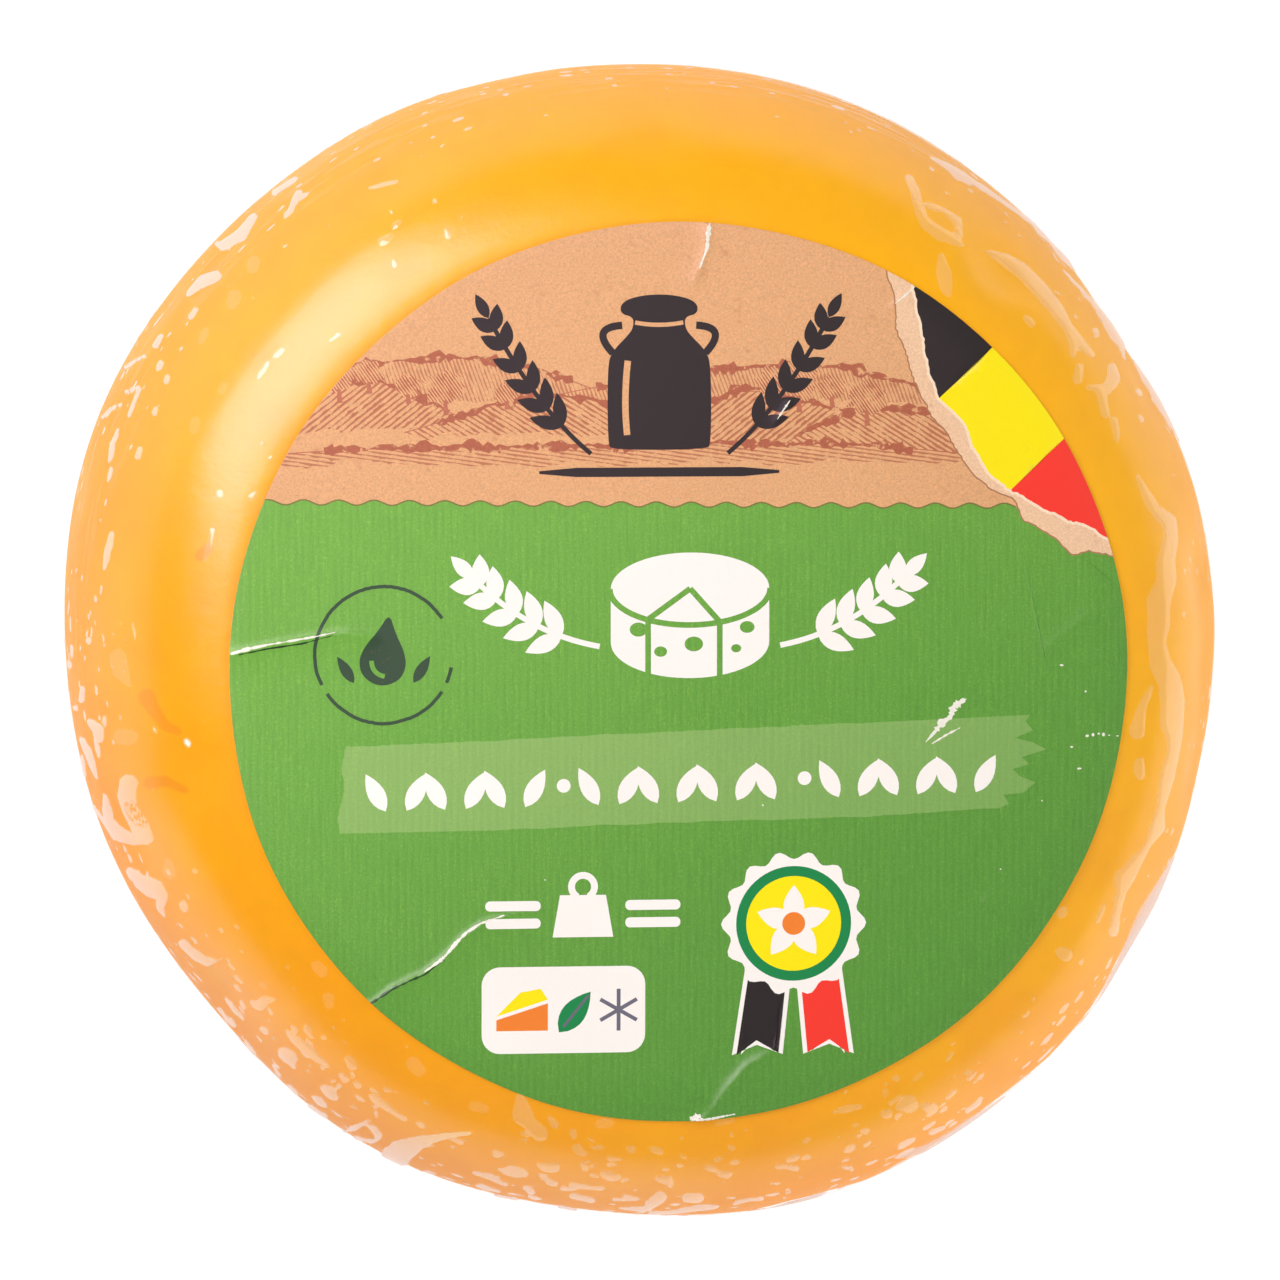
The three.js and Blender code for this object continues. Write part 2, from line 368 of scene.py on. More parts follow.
class Finish:
    """A procedural material, or the world, that is built up node by node."""

    def __init__(self, owner):
        self.owner = owner
        self.owner.use_nodes = True
        self.tree = self.owner.node_tree
        self.tree.nodes.clear()

    def node(self, kind, settings=None, inputs=(), output=0):
        """Adds a node with its settings and its sockets' values or links. Returns one output."""
        node = self.tree.nodes.new(kind)
        for name, value in (settings or {}).items():
            setattr(node, name, value)
        pairs = inputs.items() if isinstance(inputs, dict) else enumerate(inputs)
        for name, value in pairs:
            if isinstance(value, Value):
                self.tree.links.new(value.socket, node.inputs[name])
            elif node.inputs[name].type == "RGBA" and len(value) == 3:
                node.inputs[name].default_value = (*value, 1)
            else:
                node.inputs[name].default_value = value
        return Value(self, node.outputs[output]) if node.outputs else None

    def attribute(self, name, output="Fac"):
        return self.node("ShaderNodeAttribute", {"attribute_name": name}, output=output)

    def place(self):
        """The object's own coordinates, in millimetres."""
        here = self.node("ShaderNodeTexCoord", output="Object")
        return self.scaled(here, (1 / MM, 1 / MM, 1 / MM))

    def scaled(self, vector, factors):
        return self.node("ShaderNodeVectorMath", {"operation": "MULTIPLY"}, [vector, factors])

    def shifted(self, vector, by):
        return self.node("ShaderNodeVectorMath", {"operation": "ADD"}, [vector, by])

    def noise(self, vector, size, detail=2, roughness=0.5, output="Fac"):
        """Smooth noise whose patches are about size millimetres across."""
        sockets = {"Vector": vector, "Scale": 1 / size, "Detail": detail, "Roughness": roughness}
        return self.node("ShaderNodeTexNoise", None, sockets, output)

    def warped(self, vector, size, reach):
        """The vector pushed about by noise, by up to half of reach."""
        push = self.noise(vector, size, output="Color")
        centred = self.node("ShaderNodeVectorMath", {"operation": "SUBTRACT"}, [push, (0.5, 0.5, 0.5)])
        return self.shifted(vector, self.scaled(centred, (reach, reach, reach)))

    def cells(self, vector, size):
        """The distance to the middle of the nearest Voronoi cell, and a colour drawn for that cell."""
        distance = self.node("ShaderNodeTexVoronoi", None, {"Vector": vector, "Scale": 1 / size}, "Distance")
        return distance, Value(self, distance.socket.node.outputs["Color"])

    def part(self, vector, axis):
        return self.node("ShaderNodeSeparateXYZ", None, [vector], "XYZ"[axis])

    def blend(self, factor, a, b):
        """Mixes two colours. They are inputs 6 and 7 of a Mix node, and its output 2."""
        return self.node("ShaderNodeMix", {"data_type": "RGBA"}, {0: factor, 6: a, 7: b}, 2)

    def shaded(self, colour, light):
        """A colour made lighter or darker by a number."""
        return self.node("ShaderNodeVectorMath", {"operation": "SCALE"}, {0: colour, 3: light})

    def bump(self, height, distance):
        """A normal from a height between 0 and 1. distance is its depth in millimetres."""
        sockets = {"Strength": 1.0, "Distance": distance * MM, "Height": height}
        return self.node("ShaderNodeBump", None, sockets)

    def principled(self, **sockets):
        """A Principled shader. Socket names have underscores for spaces."""
        named = {name.replace("_", " "): value for name, value in sockets.items()}
        return self.node("ShaderNodeBsdfPrincipled", None, named)

    def done(self, shader):
        self.node("ShaderNodeOutputMaterial", None, [shader])
        return self.owner


# Film and rind

# The air pockets that stand out in the photograph. Each is a path of (x, y, half width), in its pixels.
LONG_POCKET = [
    (1136, 476, 2), (1144, 494, 5), (1154, 511, 6), (1168, 521, 7), (1169, 542, 8), (1164, 561, 9),
    (1165, 580, 10), (1157, 602, 12), (1157, 625, 11), (1155, 644, 9), (1159, 663, 11), (1168, 682, 12),
    (1171, 701, 12), (1170, 721, 12), (1173, 737, 8), (1171, 756, 6), (1166, 772, 8), (1162, 791, 6),
    (1159, 810, 4), (1156, 826, 8), (1146, 845, 3), (1135, 861, 6), (1123, 877, 10), (1119, 893, 5),
    (1115, 912, 4), (1112, 931, 5),
]
LONG_POCKET_BRANCH = [(1151, 685, 2), (1143, 701, 4), (1138, 717, 6), (1136, 731, 8)]
HOOKED_POCKET = [
    (128, 782, 7), (125, 796, 6), (131, 810, 7), (141, 826, 9), (148, 837, 7), (135, 839, 6),
    (119, 833, 7), (111, 822, 6), (108, 805, 4), (107, 793, 2),
]
POCKETS = [
    [(131, 783, 9), (129, 795, 9), (131, 808, 7), (140, 822, 9), (146, 832, 8)],
    LONG_POCKET,
    LONG_POCKET_BRANCH,
    HOOKED_POCKET,
    [(1138, 762, 5), (1138, 774, 6)], [(1103, 904, 2), (1096, 920, 3)], [(1063, 910, 4), (1061, 913, 5)],
    [(985, 252, 2), (1002, 259, 6), (1021, 272, 8), (1039, 291, 8),
     (1056, 311, 7), (1065, 326, 5), (1073, 339, 7), (1091, 356, 3)], [(1073, 345, 5), (1071, 357, 2)],
    [(908, 180, 4), (914, 192, 5), (918, 210, 5), (924, 224, 6),
     (938, 234, 7), (955, 242, 5), (961, 246, 1)],
    [(924, 205, 3), (945, 213, 3), (957, 222, 4), (958, 236, 4)], [(1078, 368, 5), (1076, 380, 5)],
    [(1110, 369, 5), (1113, 380, 6), (1104, 390, 6), (1085, 388, 2)], [(1100, 392, 5), (1104, 414, 4)],
    [(1113, 421, 4), (1115, 434, 4), (1115, 446, 1)],
    [(940, 258, 4), (943, 274, 8), (946, 290, 6), (950, 300, 1)],
    [(930, 159, 1), (946, 168, 4), (957, 176, 5), (974, 185, 3), (998, 200, 2),
     (1030, 224, 2), (1052, 248, 2), (1065, 261, 3), (1073, 272, 1)],
    [(1060, 270, 1), (1080, 291, 2), (1095, 309, 3), (1108, 328, 5), (1119, 345, 4), (1123, 361, 1)],
    [(1131, 361, 1), (1143, 380, 3), (1156, 402, 4), (1167, 421, 2), (1177, 441, 1)],
    [(1094, 332, 3), (1096, 336, 2)], [(1137, 391, 2), (1139, 396, 2)], [(1138, 417, 2), (1140, 421, 3)],
    [(1026, 320, 4), (1030, 324, 4)], [(282, 351, 3), (276, 356, 4)], [(268, 364, 3), (259, 377, 3)],
    [(331, 341, 2), (339, 336, 3)], [(383, 243, 5), (392, 237, 3)], [(395, 227, 3), (400, 223, 3)],
    [(448, 229, 3), (449, 236, 4)], [(396, 262, 3), (394, 267, 2)], [(217, 499, 3), (221, 493, 3)],
    [(252, 498, 4), (256, 494, 3)], [(213, 530, 3), (211, 545, 4), (206, 560, 3)],
    [(300, 314, 1), (302, 313, 1)], [(261, 444, 2), (262, 443, 2)], [(270, 459, 2), (273, 456, 2)],
    [(92, 722, 4), (100, 729, 6), (101, 738, 5)],
    [(83, 739, 3), (88, 748, 4), (93, 760, 4), (99, 778, 2)], [(74, 646, 2), (74, 658, 2)],
    [(84, 687, 2), (83, 700, 3)], [(71, 664, 3), (72, 667, 2)], [(90, 640, 3), (91, 643, 2)],
    [(106, 717, 2), (107, 726, 2)], [(77, 707, 3), (78, 710, 2)], [(83, 756, 2), (87, 775, 2)],
    [(96, 806, 2), (105, 821, 2)],
    [(132, 870, 4), (143, 881, 8), (155, 888, 10), (164, 895, 6), (162, 907, 4), (167, 917, 1)],
    [(184, 904, 4), (186, 908, 4)], [(184, 943, 4), (197, 954, 5), (209, 961, 4), (223, 957, 1)],
    [(237, 976, 2), (243, 981, 2)], [(237, 984, 2), (241, 989, 2)], [(235, 1006, 3), (238, 1012, 2)],
    [(243, 1001, 3), (245, 1006, 2)], [(220, 1007, 2), (227, 1015, 2), (232, 1020, 4), (236, 1025, 2)],
    [(255, 1002, 4), (261, 1004, 6), (266, 1000, 5), (275, 998, 2)], [(264, 1028, 3), (268, 1032, 2)],
    [(308, 1028, 4), (312, 1036, 2)], [(285, 1052, 6), (292, 1057, 7), (295, 1066, 2)],
    [(288, 1029, 2), (294, 1036, 4), (307, 1048, 5), (318, 1057, 4), (329, 1065, 2)],
    [(247, 1040, 2), (256, 1052, 2)], [(275, 1064, 2), (281, 1075, 2)], [(290, 1084, 2), (298, 1092, 2)],
    [(311, 1105, 2), (327, 1115, 2)], [(325, 1087, 4), (331, 1091, 6), (336, 1096, 3)],
    [(336, 1087, 2), (341, 1085, 2)], [(316, 1096, 3), (320, 1100, 4), (326, 1105, 2)],
    [(342, 1074, 3), (346, 1078, 4)], [(333, 1080, 2), (336, 1080, 2)], [(349, 1058, 4), (353, 1064, 5)],
    [(357, 1082, 3), (360, 1085, 3)], [(387, 1088, 3), (391, 1090, 2)],
    [(373, 1095, 3), (379, 1099, 5), (389, 1107, 3), (406, 1118, 2)], [(425, 1100, 2), (428, 1102, 2)],
    [(346, 1129, 2), (358, 1125, 3), (366, 1121, 2), (371, 1119, 2)],
    [(367, 1122, 2), (374, 1127, 3), (380, 1134, 3), (375, 1139, 3), (367, 1139, 2), (357, 1136, 2)],
    [(376, 1105, 1), (377, 1114, 2)], [(448, 1136, 1), (458, 1139, 2), (472, 1139, 1)],
    [(520, 1097, 5), (523, 1113, 11), (529, 1122, 7), (540, 1132, 8)], [(550, 1117, 3), (555, 1124, 4)],
    [(573, 1131, 3), (573, 1135, 3)], [(590, 1138, 2), (593, 1140, 2)],
    [(537, 1163, 2), (545, 1165, 5), (555, 1166, 5)], [(584, 1163, 3), (585, 1167, 4)],
    [(604, 1173, 4), (611, 1175, 5), (618, 1176, 3)],
    [(573, 1184, 4), (579, 1184, 3), (590, 1186, 2), (604, 1187, 2)], [(547, 1180, 2), (555, 1182, 3)],
    [(652, 1148, 3), (660, 1150, 4)], [(682, 1154, 2), (684, 1156, 2)], [(664, 1167, 3), (668, 1168, 2)],
    [(659, 1178, 3), (668, 1179, 5), (671, 1184, 3)], [(707, 1166, 3), (713, 1168, 3)],
    [(720, 1172, 3), (728, 1173, 4)], [(687, 1196, 5), (699, 1196, 5)], [(625, 1196, 3), (638, 1197, 2)],
    [(660, 1196, 6), (650, 1203, 5), (645, 1208, 3), (618, 1206, 1)],
    [(652, 1211, 2), (675, 1210, 2), (700, 1206, 3), (717, 1205, 2)],
    [(572, 1194, 3), (582, 1196, 3), (593, 1199, 3)], [(526, 1186, 3), (533, 1191, 3)],
    [(530, 1195, 2), (540, 1197, 2)], [(474, 1171, 2), (491, 1175, 3), (500, 1181, 2), (507, 1183, 2)],
    [(478, 1184, 2), (499, 1189, 2)], [(496, 1194, 2), (516, 1197, 2)], [(560, 1205, 2), (575, 1208, 2)],
    [(734, 1202, 2), (748, 1198, 2), (762, 1197, 2)], [(777, 1165, 3), (785, 1165, 2), (796, 1167, 3)],
    [(788, 1158, 2), (797, 1155, 3)], [(770, 1181, 2), (773, 1181, 2)],
    [(832, 1111, 2), (845, 1108, 4), (861, 1105, 2)], [(884, 1113, 4), (888, 1113, 4)],
    [(889, 1103, 2), (900, 1095, 2)], [(925, 1105, 4), (931, 1107, 6), (928, 1113, 3)],
    [(946, 1096, 3), (953, 1090, 3)], [(968, 1077, 3), (975, 1071, 2)],
    [(966, 1110, 2), (976, 1102, 3), (980, 1097, 2)], [(946, 1059, 2), (952, 1052, 2)],
    [(929, 1132, 2), (943, 1126, 2)], [(864, 1144, 2), (869, 1141, 2)], [(843, 1165, 2), (853, 1168, 2)],
    [(1061, 952, 7), (1065, 954, 7)], [(275, 194, 3), (296, 181, 3)],
    [(300, 195, 4), (291, 213, 3), (287, 217, 3)],
    [(255, 218, 4), (242, 236, 6), (224, 247, 5), (219, 245, 3)],
    [(218, 277, 5), (204, 282, 6), (190, 295, 3)], [(197, 311, 3), (192, 318, 3)],
    [(162, 338, 3), (157, 347, 3)], [(162, 364, 3), (160, 369, 3)], [(169, 378, 3), (167, 383, 3)],
    [(158, 409, 3), (156, 414, 3)], [(142, 450, 3), (140, 457, 4)],
    [(371, 190, 2), (383, 186, 2), (397, 183, 2)], [(127, 368, 2), (137, 362, 2), (147, 357, 2)],
    [(104, 418, 2), (114, 409, 2), (125, 405, 2)],
    [(127, 393, 2), (141, 388, 2), (136, 402, 2), (131, 416, 2)],
    [(120, 430, 2), (114, 448, 3), (110, 464, 1)], [(114, 534, 3), (109, 556, 4), (106, 568, 2)],
]
FAINT_POCKETS = [
    [(119, 658, 9), (121, 670, 8), (130, 684, 3)], [(122, 737, 8), (131, 737, 8)],
    [(169, 862, 4), (170, 872, 7)], [(317, 966, 6), (322, 971, 6)], [(329, 998, 6), (330, 1004, 5)],
    [(262, 983, 3), (265, 986, 3)], [(413, 1063, 7), (419, 1069, 7)], [(474, 1106, 5), (484, 1108, 5)],
    [(600, 1123, 5), (609, 1122, 5)], [(716, 1124, 2), (731, 1119, 4)], [(914, 1079, 3), (921, 1073, 3)],
    [(885, 1090, 3), (885, 1094, 3)], [(255, 262, 6), (253, 268, 6)], [(235, 297, 7), (233, 304, 6)],
    [(206, 333, 4), (202, 342, 4)], [(196, 422, 5), (195, 430, 5)], [(224, 386, 4), (222, 391, 4)],
]
# Painted highlights: spots where the film is painted near-white and nearly opaque, standing in for glints of
# the lamps
GLINTS = [
    [(187, 741, 4), (189, 744, 4)], [(203, 720, 1), (205, 723, 1)], [(154, 727, 2), (157, 732, 2)],
    [(434, 201, 3), (435, 203, 3)], [(462, 217, 2), (462, 220, 2)], [(391, 212, 2), (392, 214, 2)],
    [(451, 232, 2), (449, 236, 2)], [(365, 274, 2), (366, 276, 2)],
    [(133, 622, 1), (135, 631, 2), (136, 640, 1)],
]
DOTTED_POCKETS = [[(133, 806, 6), (140, 814, 8), (145, 820, 6)]]
DULL_POCKETS = [
    [(147, 698, 9), (152, 708, 7), (165, 726, 5), (178, 731, 4)],
    [(150, 783, 7), (165, 781, 6), (185, 790, 4)], [(200, 556, 6), (208, 548, 5)],
]
# Film that stands off the wheel's outline, as paths of photograph pixels
LOOSE_FILM = [
    [(1173, 856, 1), (1168, 868, 3), (1162, 882, 5), (1154, 898, 7),
     (1145, 914, 8), (1138, 930, 8), (1131, 947, 8)],
    [(1131, 947, 8), (1123, 963, 7), (1111, 983, 6), (1101, 998, 3), (1091, 1012, 1)],
    [(753, 1213, 1), (775, 1208, 3), (800, 1201, 3), (826, 1191, 1)],
    [(897, 1157, 1), (912, 1152, 3), (930, 1146, 4), (950, 1136, 5),
     (972, 1121, 5), (990, 1108, 3), (1004, 1096, 1)],
]
# Where the rind lies deeper under loose film: degrees round the wheel, with the depth in millimetres
RIND_DRAWN_IN = [
    (-180, 0), (-80, 0), (-76, 0.3), (-72, 0.3), (-68, 0), (-60, 0.1), (-57, 0.3), (-53, 0.35),
    (-49, 0.2), (-46, 0), (-40, 0.1), (-37, 0.3), (-34, 0.6), (-30, 0.75), (-27, 0.8), (-24, 0.45),
    (-21.5, 0), (180, 0),
]
FOLDED_FLAP = [
    (391, 1152, 8), (402, 1150, 13), (412, 1145, 10), (422, 1140, 7), (436, 1136, 4), (450, 1133, 3),
    (471, 1131, 2),
]
AIR_ROUND_THE_SIDE = [
    # degrees round the wheel, where the droplets start as a share of its radius, and how large they are
    (-180, 0.86, 0.6), (-150, 0.82, 0.85), (-128, 0.76, 0.9), (-100, 0.74, 0.9), (-70, 0.74, 0.9),
    (-45, 0.78, 0.85), (-25, 0.82, 0.6), (10, 0.86, 0.5), (45, 0.84, 0.6), (65, 0.88, 0.7),
    (90, 0.92, 0.85), (110, 0.9, 0.85), (130, 0.88, 0.6), (150, 0.9, 0.55), (180, 0.86, 0.6),
]
# Where the film's ripples near its outline get painted highlights
RIPPLED_ROUND_THE_SIDE = [
    # degrees round the wheel, and how strongly the film is rippled near its outline
    (-180, 0.3), (-100, 0.35), (-60, 0.5), (-20, 0.5), (0, 0.9), (75, 1.0), (100, 0.5), (180, 0.3),
]
RIND_YELLOW = srgb(254, 179, 8)
RIND_ORANGE = srgb(251, 163, 12)
# Painted shade: a darker orange laid on the rind where its side turns down
RIND_PAINTED_SHADE = srgb(245, 142, 8)
RIND_DULL = srgb(236, 138, 30)
RIND_FRECKLE = srgb(212, 128, 44)
# Pockets of air: a pale colour that is partly the air gap's milky look and partly painted reflection, pinker
# on the side
AIR_AND_PAINTED_REFLECTION_ON_TOP = srgb(255, 212, 156)
AIR_AND_PAINTED_REFLECTION_ON_SIDE = srgb(238, 200, 182)
LOOSE_PINK = srgb(216, 190, 178)
# Painted highlight colour
GLINT_WHITE = srgb(255, 252, 240)
POCKET_EDGE = 6.0  # pixels over which a pocket's field falls off
FLAP_EDGE = 4.0
LAP_STRETCH = 1.35  # droplets are this much flatter than they are long
# Painted shade: the rind is painted a deeper orange towards one side of the wheel, the side away from this
# angle
PAINTED_SHADE_FROM = math.radians(65)  # the rind is deepest in colour on the side away from here
# Levels over which these begin: what only the photographed upper side has, loose film, and droplets of air
# below the waist
UPPER_SIDE = (26, 30)
LOOSE_SIDE = (12, 20)
LOWER_AIR = (2, 14)
# Shares of the wheel's radius over which the side turns down and the film's ripples get painted highlights
TURNED_DOWN = (0.83, 1.0)
RIPPLED_RIM = (0.93, 0.99)
AIR_START_EDGE = (-0.04, 0.12)
# The rind is drawn in most at this level, by a bell as wide as this
DRAWN_IN_LEVEL, DRAWN_IN_SPREAD = 42, 17
FOOT_EDGE = 1.5  # the level up to which the film closes in on the flat foot
POCKET_LIFT = 0.25
FLAP_LIFT = 1.6  # the folded flap's share of a pocket's lift


def pocket_field(seen, upper, paths):
    """1 inside the named pockets, falling to 0 a little outside them."""
    field = np.zeros(len(seen))
    for path in paths:
        away, _ = distance_to_path(seen, path)
        field = np.maximum(field, np.clip(0.5 - away / (2 * POCKET_EDGE), 0, 1))
    return field * upper


def skin_attributes():
    """What the film's and the rind's materials read at each point of the wheel's skin."""
    points, angle = SKIN.points, SKIN.angle
    seen = in_photo(points)
    above = SKIN.level > WAIST_LEVEL
    upper = smoothstep(*UPPER_SIDE, SKIN.level)
    out = np.clip(np.hypot(points[:, 0], points[:, 1]) / WHEEL_RADIUS, 0, 1)
    around, starts, sizes = np.array(AIR_ROUND_THE_SIDE).T
    start, size = (np.interp(np.degrees(angle), around, row) for row in (starts, sizes))
    airy_above = smoothstep(start + AIR_START_EDGE[0], start + AIR_START_EDGE[1], out)
    airy = size * np.where(above, airy_above, smoothstep(*LOWER_AIR, SKIN.level))
    rippled = np.interp(np.degrees(angle), *np.array(RIPPLED_ROUND_THE_SIDE).T)
    rippled *= smoothstep(*RIPPLED_RIM, out)
    lap = np.stack([WHEEL_RADIUS * np.cos(angle), WHEEL_RADIUS * np.sin(angle), SKIN.length * LAP_STRETCH], 1)
    flap, _ = distance_to_path(seen, FOLDED_FLAP)
    return {
        "lap": lap,
        "pocket": pocket_field(seen, upper, POCKETS),
        "faint_pocket": pocket_field(seen, upper, FAINT_POCKETS),
        "dull_pocket": pocket_field(seen, upper, DULL_POCKETS),
        "glint": pocket_field(seen, upper, GLINTS),
        "dotted_pocket": pocket_field(seen, upper, DOTTED_POCKETS),
        "loose": pocket_field(seen, smoothstep(*LOOSE_SIDE, SKIN.level), LOOSE_FILM),
        "flap": np.clip(0.5 - flap / FLAP_EDGE, 0, 1) * upper,
        "airy": airy,
        "down_side": np.where(above, smoothstep(*TURNED_DOWN, out), 1),
        "rippled": np.where(SKIN.level > LOOSE_SIDE[0], rippled, 0),
        # painted shade, largest on one side of the wheel
        "deep": 0.5 - 0.5 * np.cos(angle - PAINTED_SHADE_FROM),
    }


SKIN_FACTS = skin_attributes()


SHARP_ANGLE = math.radians(50)


def make_mesh(name, points, faces, point_facts, material, face_facts=None):
    """A smooth mesh piece. points are in the wheel's own millimetres."""
    mesh = bpy.data.meshes.new(name)
    mesh.from_pydata(((points + OFFSET) * MM).tolist(), [], faces)
    for domain, facts in (("POINT", point_facts), ("FACE", face_facts or {})):
        for key, values in facts.items():
            kind, field = ("FLOAT", "value") if values.ndim == 1 else ("FLOAT_VECTOR", "vector")
            layer = mesh.attributes.new(key, kind, domain)
            layer.data.foreach_set(field, values.astype(np.float32).ravel())
    mesh.polygons.foreach_set("use_smooth", [True] * len(mesh.polygons))
    mesh.set_sharp_from_angle(angle=SHARP_ANGLE)
    mesh.materials.append(material)
    piece = bpy.data.objects.new(name, mesh)
    bpy.context.collection.objects.link(piece)
    return piece


def air_pockets(finish):
    """1 where air lies between film and rind, with crisp rounded outlines, and 0 where the film clings."""
    lap = finish.attribute("lap", "Vector")
    airy = finish.attribute("airy")
    bent = finish.warped(lap, 2.0, 1.5)
    patchy = finish.noise(lap, 8, 0).rising(0.2, 0.5)
    away, colour = finish.cells(bent, 2.3)
    small = finish.part(colour, 0) ** 1.3 * 0.5 * airy * patchy
    large_away, large_colour = finish.cells(bent, 5.2)
    large = finish.part(large_colour, 1) ** 2.6 * 0.42 * airy
    droplets = (small - away).most(large - large_away).rising(-0.02, 0.03)
    ragged = (finish.part(bent, 0) + finish.part(bent, 1) - finish.part(lap, 0) - finish.part(lap, 1)) * 0.16
    dots = finish.noise(lap, 0.5, 1).rising(0.48, 0.56) * finish.attribute("dotted_pocket").rising(0.3, 0.7)
    named = (finish.attribute("pocket") + ragged).rising(0.46, 0.54) * (1 - dots)
    faint = (finish.attribute("faint_pocket") + ragged).rising(0.42, 0.58)
    return droplets.most(named), faint


def rind_finish():
    """Soft yellow-orange coated rind, its gloss that of the film which clings to it."""
    finish = Finish(bpy.data.materials.new("coated_rind"))
    here = finish.place()
    deep = finish.attribute("deep")
    side = finish.attribute("down_side")
    mottle = finish.noise(here, 3.4, 3, 0.6)
    dull = (finish.attribute("dull_pocket") + (mottle - 0.5) * 0.5).rising(0.42, 0.62)
    patches = finish.noise(here, 13, 2, 0.6)
    # Painted shade: yellow turns to orange towards one side of the wheel, mixed with patches that vary at
    # random
    colour = finish.blend((deep * 0.75 + (patches - 0.5) * 0.9).rising(0.05, 0.95), RIND_YELLOW, RIND_ORANGE)
    # Painted shade: darker orange where the side turns down, more so on the side of the wheel painted deeper
    colour = finish.blend(side * (0.35 + deep * 0.4), colour, RIND_PAINTED_SHADE)
    colour = finish.blend(dull * 0.5, colour, RIND_DULL)
    fine = finish.noise(here, 0.8, 3, 0.65)
    colour = finish.blend(fine.rising(0.66, 0.78) * 0.2, colour, RIND_FRECKLE)
    colour = finish.shaded(colour, 0.94 + mottle * 0.12)
    relief = finish.bump(fine * 0.25 + mottle, 0.06)
    shader = finish.principled(
        Base_Color=colour,
        Roughness=0.3 + (patches - 0.5) * 0.1 + side * 0.35,
        Normal=relief,
        IOR=1.52,
        Subsurface_Weight=0.15,
        Subsurface_Radius=(1.0, 0.42, 0.1),
        Subsurface_Scale=0.002,
    )
    return finish.done(shader)


def film_finish():
    """Clear film: all but unseen where it clings, and paler and glossier over pockets of air, whose paleness
    is partly painted reflection.
    """
    finish = Finish(bpy.data.materials.new("clear_shrink_film"))
    lap = finish.attribute("lap", "Vector")
    side = finish.attribute("down_side")
    pocket, faint = air_pockets(finish)
    flap = finish.attribute("flap").rising(0.4, 0.62)
    gaze = finish.node("ShaderNodeFresnel", None, {"IOR": 1.45})
    ripple = finish.noise(finish.scaled(lap, (0.16, 0.16, 1.1)), 1.5, 1)
    # Painted highlights: pale streaks where the film is rippled near the outline
    wrinkle_highlight = ripple.rising(0.5, 0.62) * finish.attribute("rippled")
    loose = finish.attribute("loose").rising(0.4, 0.6)
    haze_and_wrinkle_highlight = (gaze - 0.04) * 0.06 + wrinkle_highlight * 0.24
    # Painted reflection, in part: pockets, droplets and the folded flap show their pale colour more strongly
    # where the side turns down
    alpha = haze_and_wrinkle_highlight.most(pocket * (0.26 + side * 0.56)).most(faint * 0.14).most(flap * 0.75).most(loose * 0.6)
    colour = finish.blend(side, AIR_AND_PAINTED_REFLECTION_ON_TOP, AIR_AND_PAINTED_REFLECTION_ON_SIDE)
    colour = finish.blend(loose, colour, LOOSE_PINK)
    # Painted highlights: near-white, nearly opaque spots at the listed glints
    glint = finish.attribute("glint").rising(0.45, 0.75)
    colour = finish.blend(glint, colour, GLINT_WHITE)
    body = finish.principled(Base_Color=colour, Roughness=0.3, Alpha=alpha.most(glint), IOR=1.5)
    shine = finish.node("ShaderNodeBsdfAnisotropic", None, {"Color": (1, 1, 1), "Roughness": 0.08})
    return finish.done(finish.node("ShaderNodeMixShader", None, [pocket * 0.045 + 0.002, body, shine]))


def skin_piece(name, outward, material):
    """The wheel's skin moved outward, point by point, as a closed mesh."""
    points = SKIN.points + SKIN.normal * outward[:, None]
    facts = {key: SKIN.with_poles(values) for key, values in SKIN_FACTS.items()}
    return make_mesh(name, SKIN.with_poles(points), SKIN.faces(), facts, material)


def rind():
    """The cheese itself, drawn in under loose film, and by the film's gap at its foot."""
    drawn_in = np.interp(np.degrees(SKIN.angle), *np.array(RIND_DRAWN_IN).T)
    drawn_in *= np.exp(-(((SKIN.level - DRAWN_IN_LEVEL) / DRAWN_IN_SPREAD) ** 2))
    drawn_in += FILM_GAP * (1 - smoothstep(0.0, FOOT_EDGE, SKIN.level))
    piece = skin_piece("rind", -drawn_in, rind_finish())
    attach(piece, "root")
    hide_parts("wrapped_wheel")


def film():
    """The clear film, raised over pockets of air. Lamps shine through it as if it weren't there."""
    raised = np.maximum(SKIN_FACTS["pocket"], SKIN_FACTS["flap"] * FLAP_LIFT)
    lift = FILM_GAP + POCKET_LIFT * smoothstep(0.3, 0.8, raised)
    lift = lift * smoothstep(0.0, FOOT_EDGE, SKIN.level)
    piece = skin_piece("film", lift, film_finish())
    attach(piece, "root")
    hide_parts("wrapped_wheel")
    piece.visible_shadow = piece.visible_diffuse = piece.visible_glossy = False


# Label: its print

# Places on the photograph's label are turned into millimetres from the label's centre with these
LABEL_PHOTO_CENTRE = (679, 671.5)
LABEL_PHOTO_SCALE = 9.25


def on_label(pixels):
    """A path of photograph pixels, with any half widths, in millimetres from the label's centre."""
    rows = []
    for x, y, *rest in pixels:
        across = (x - LABEL_PHOTO_CENTRE[0]) / LABEL_PHOTO_SCALE
        up = (LABEL_PHOTO_CENTRE[1] - y) / LABEL_PHOTO_SCALE
        rows.append((across, up, *(r / LABEL_PHOTO_SCALE for r in rest)))
    return rows


class Ink:
    """A printed colour and the paper that shows in it: ribs, fibres, and lines of engraving."""

    def __init__(self, colour, ribs=0.0, fibres=0.0, lines=None, gloss=0.0):
        self.colour = colour
        self.texture = (ribs, fibres, gloss)
        slope, spacing, darkness = lines or (0, 1, 0)
        slope = math.radians(slope)
        self.lines = (math.cos(slope) / spacing, math.sin(slope) / spacing, darkness)


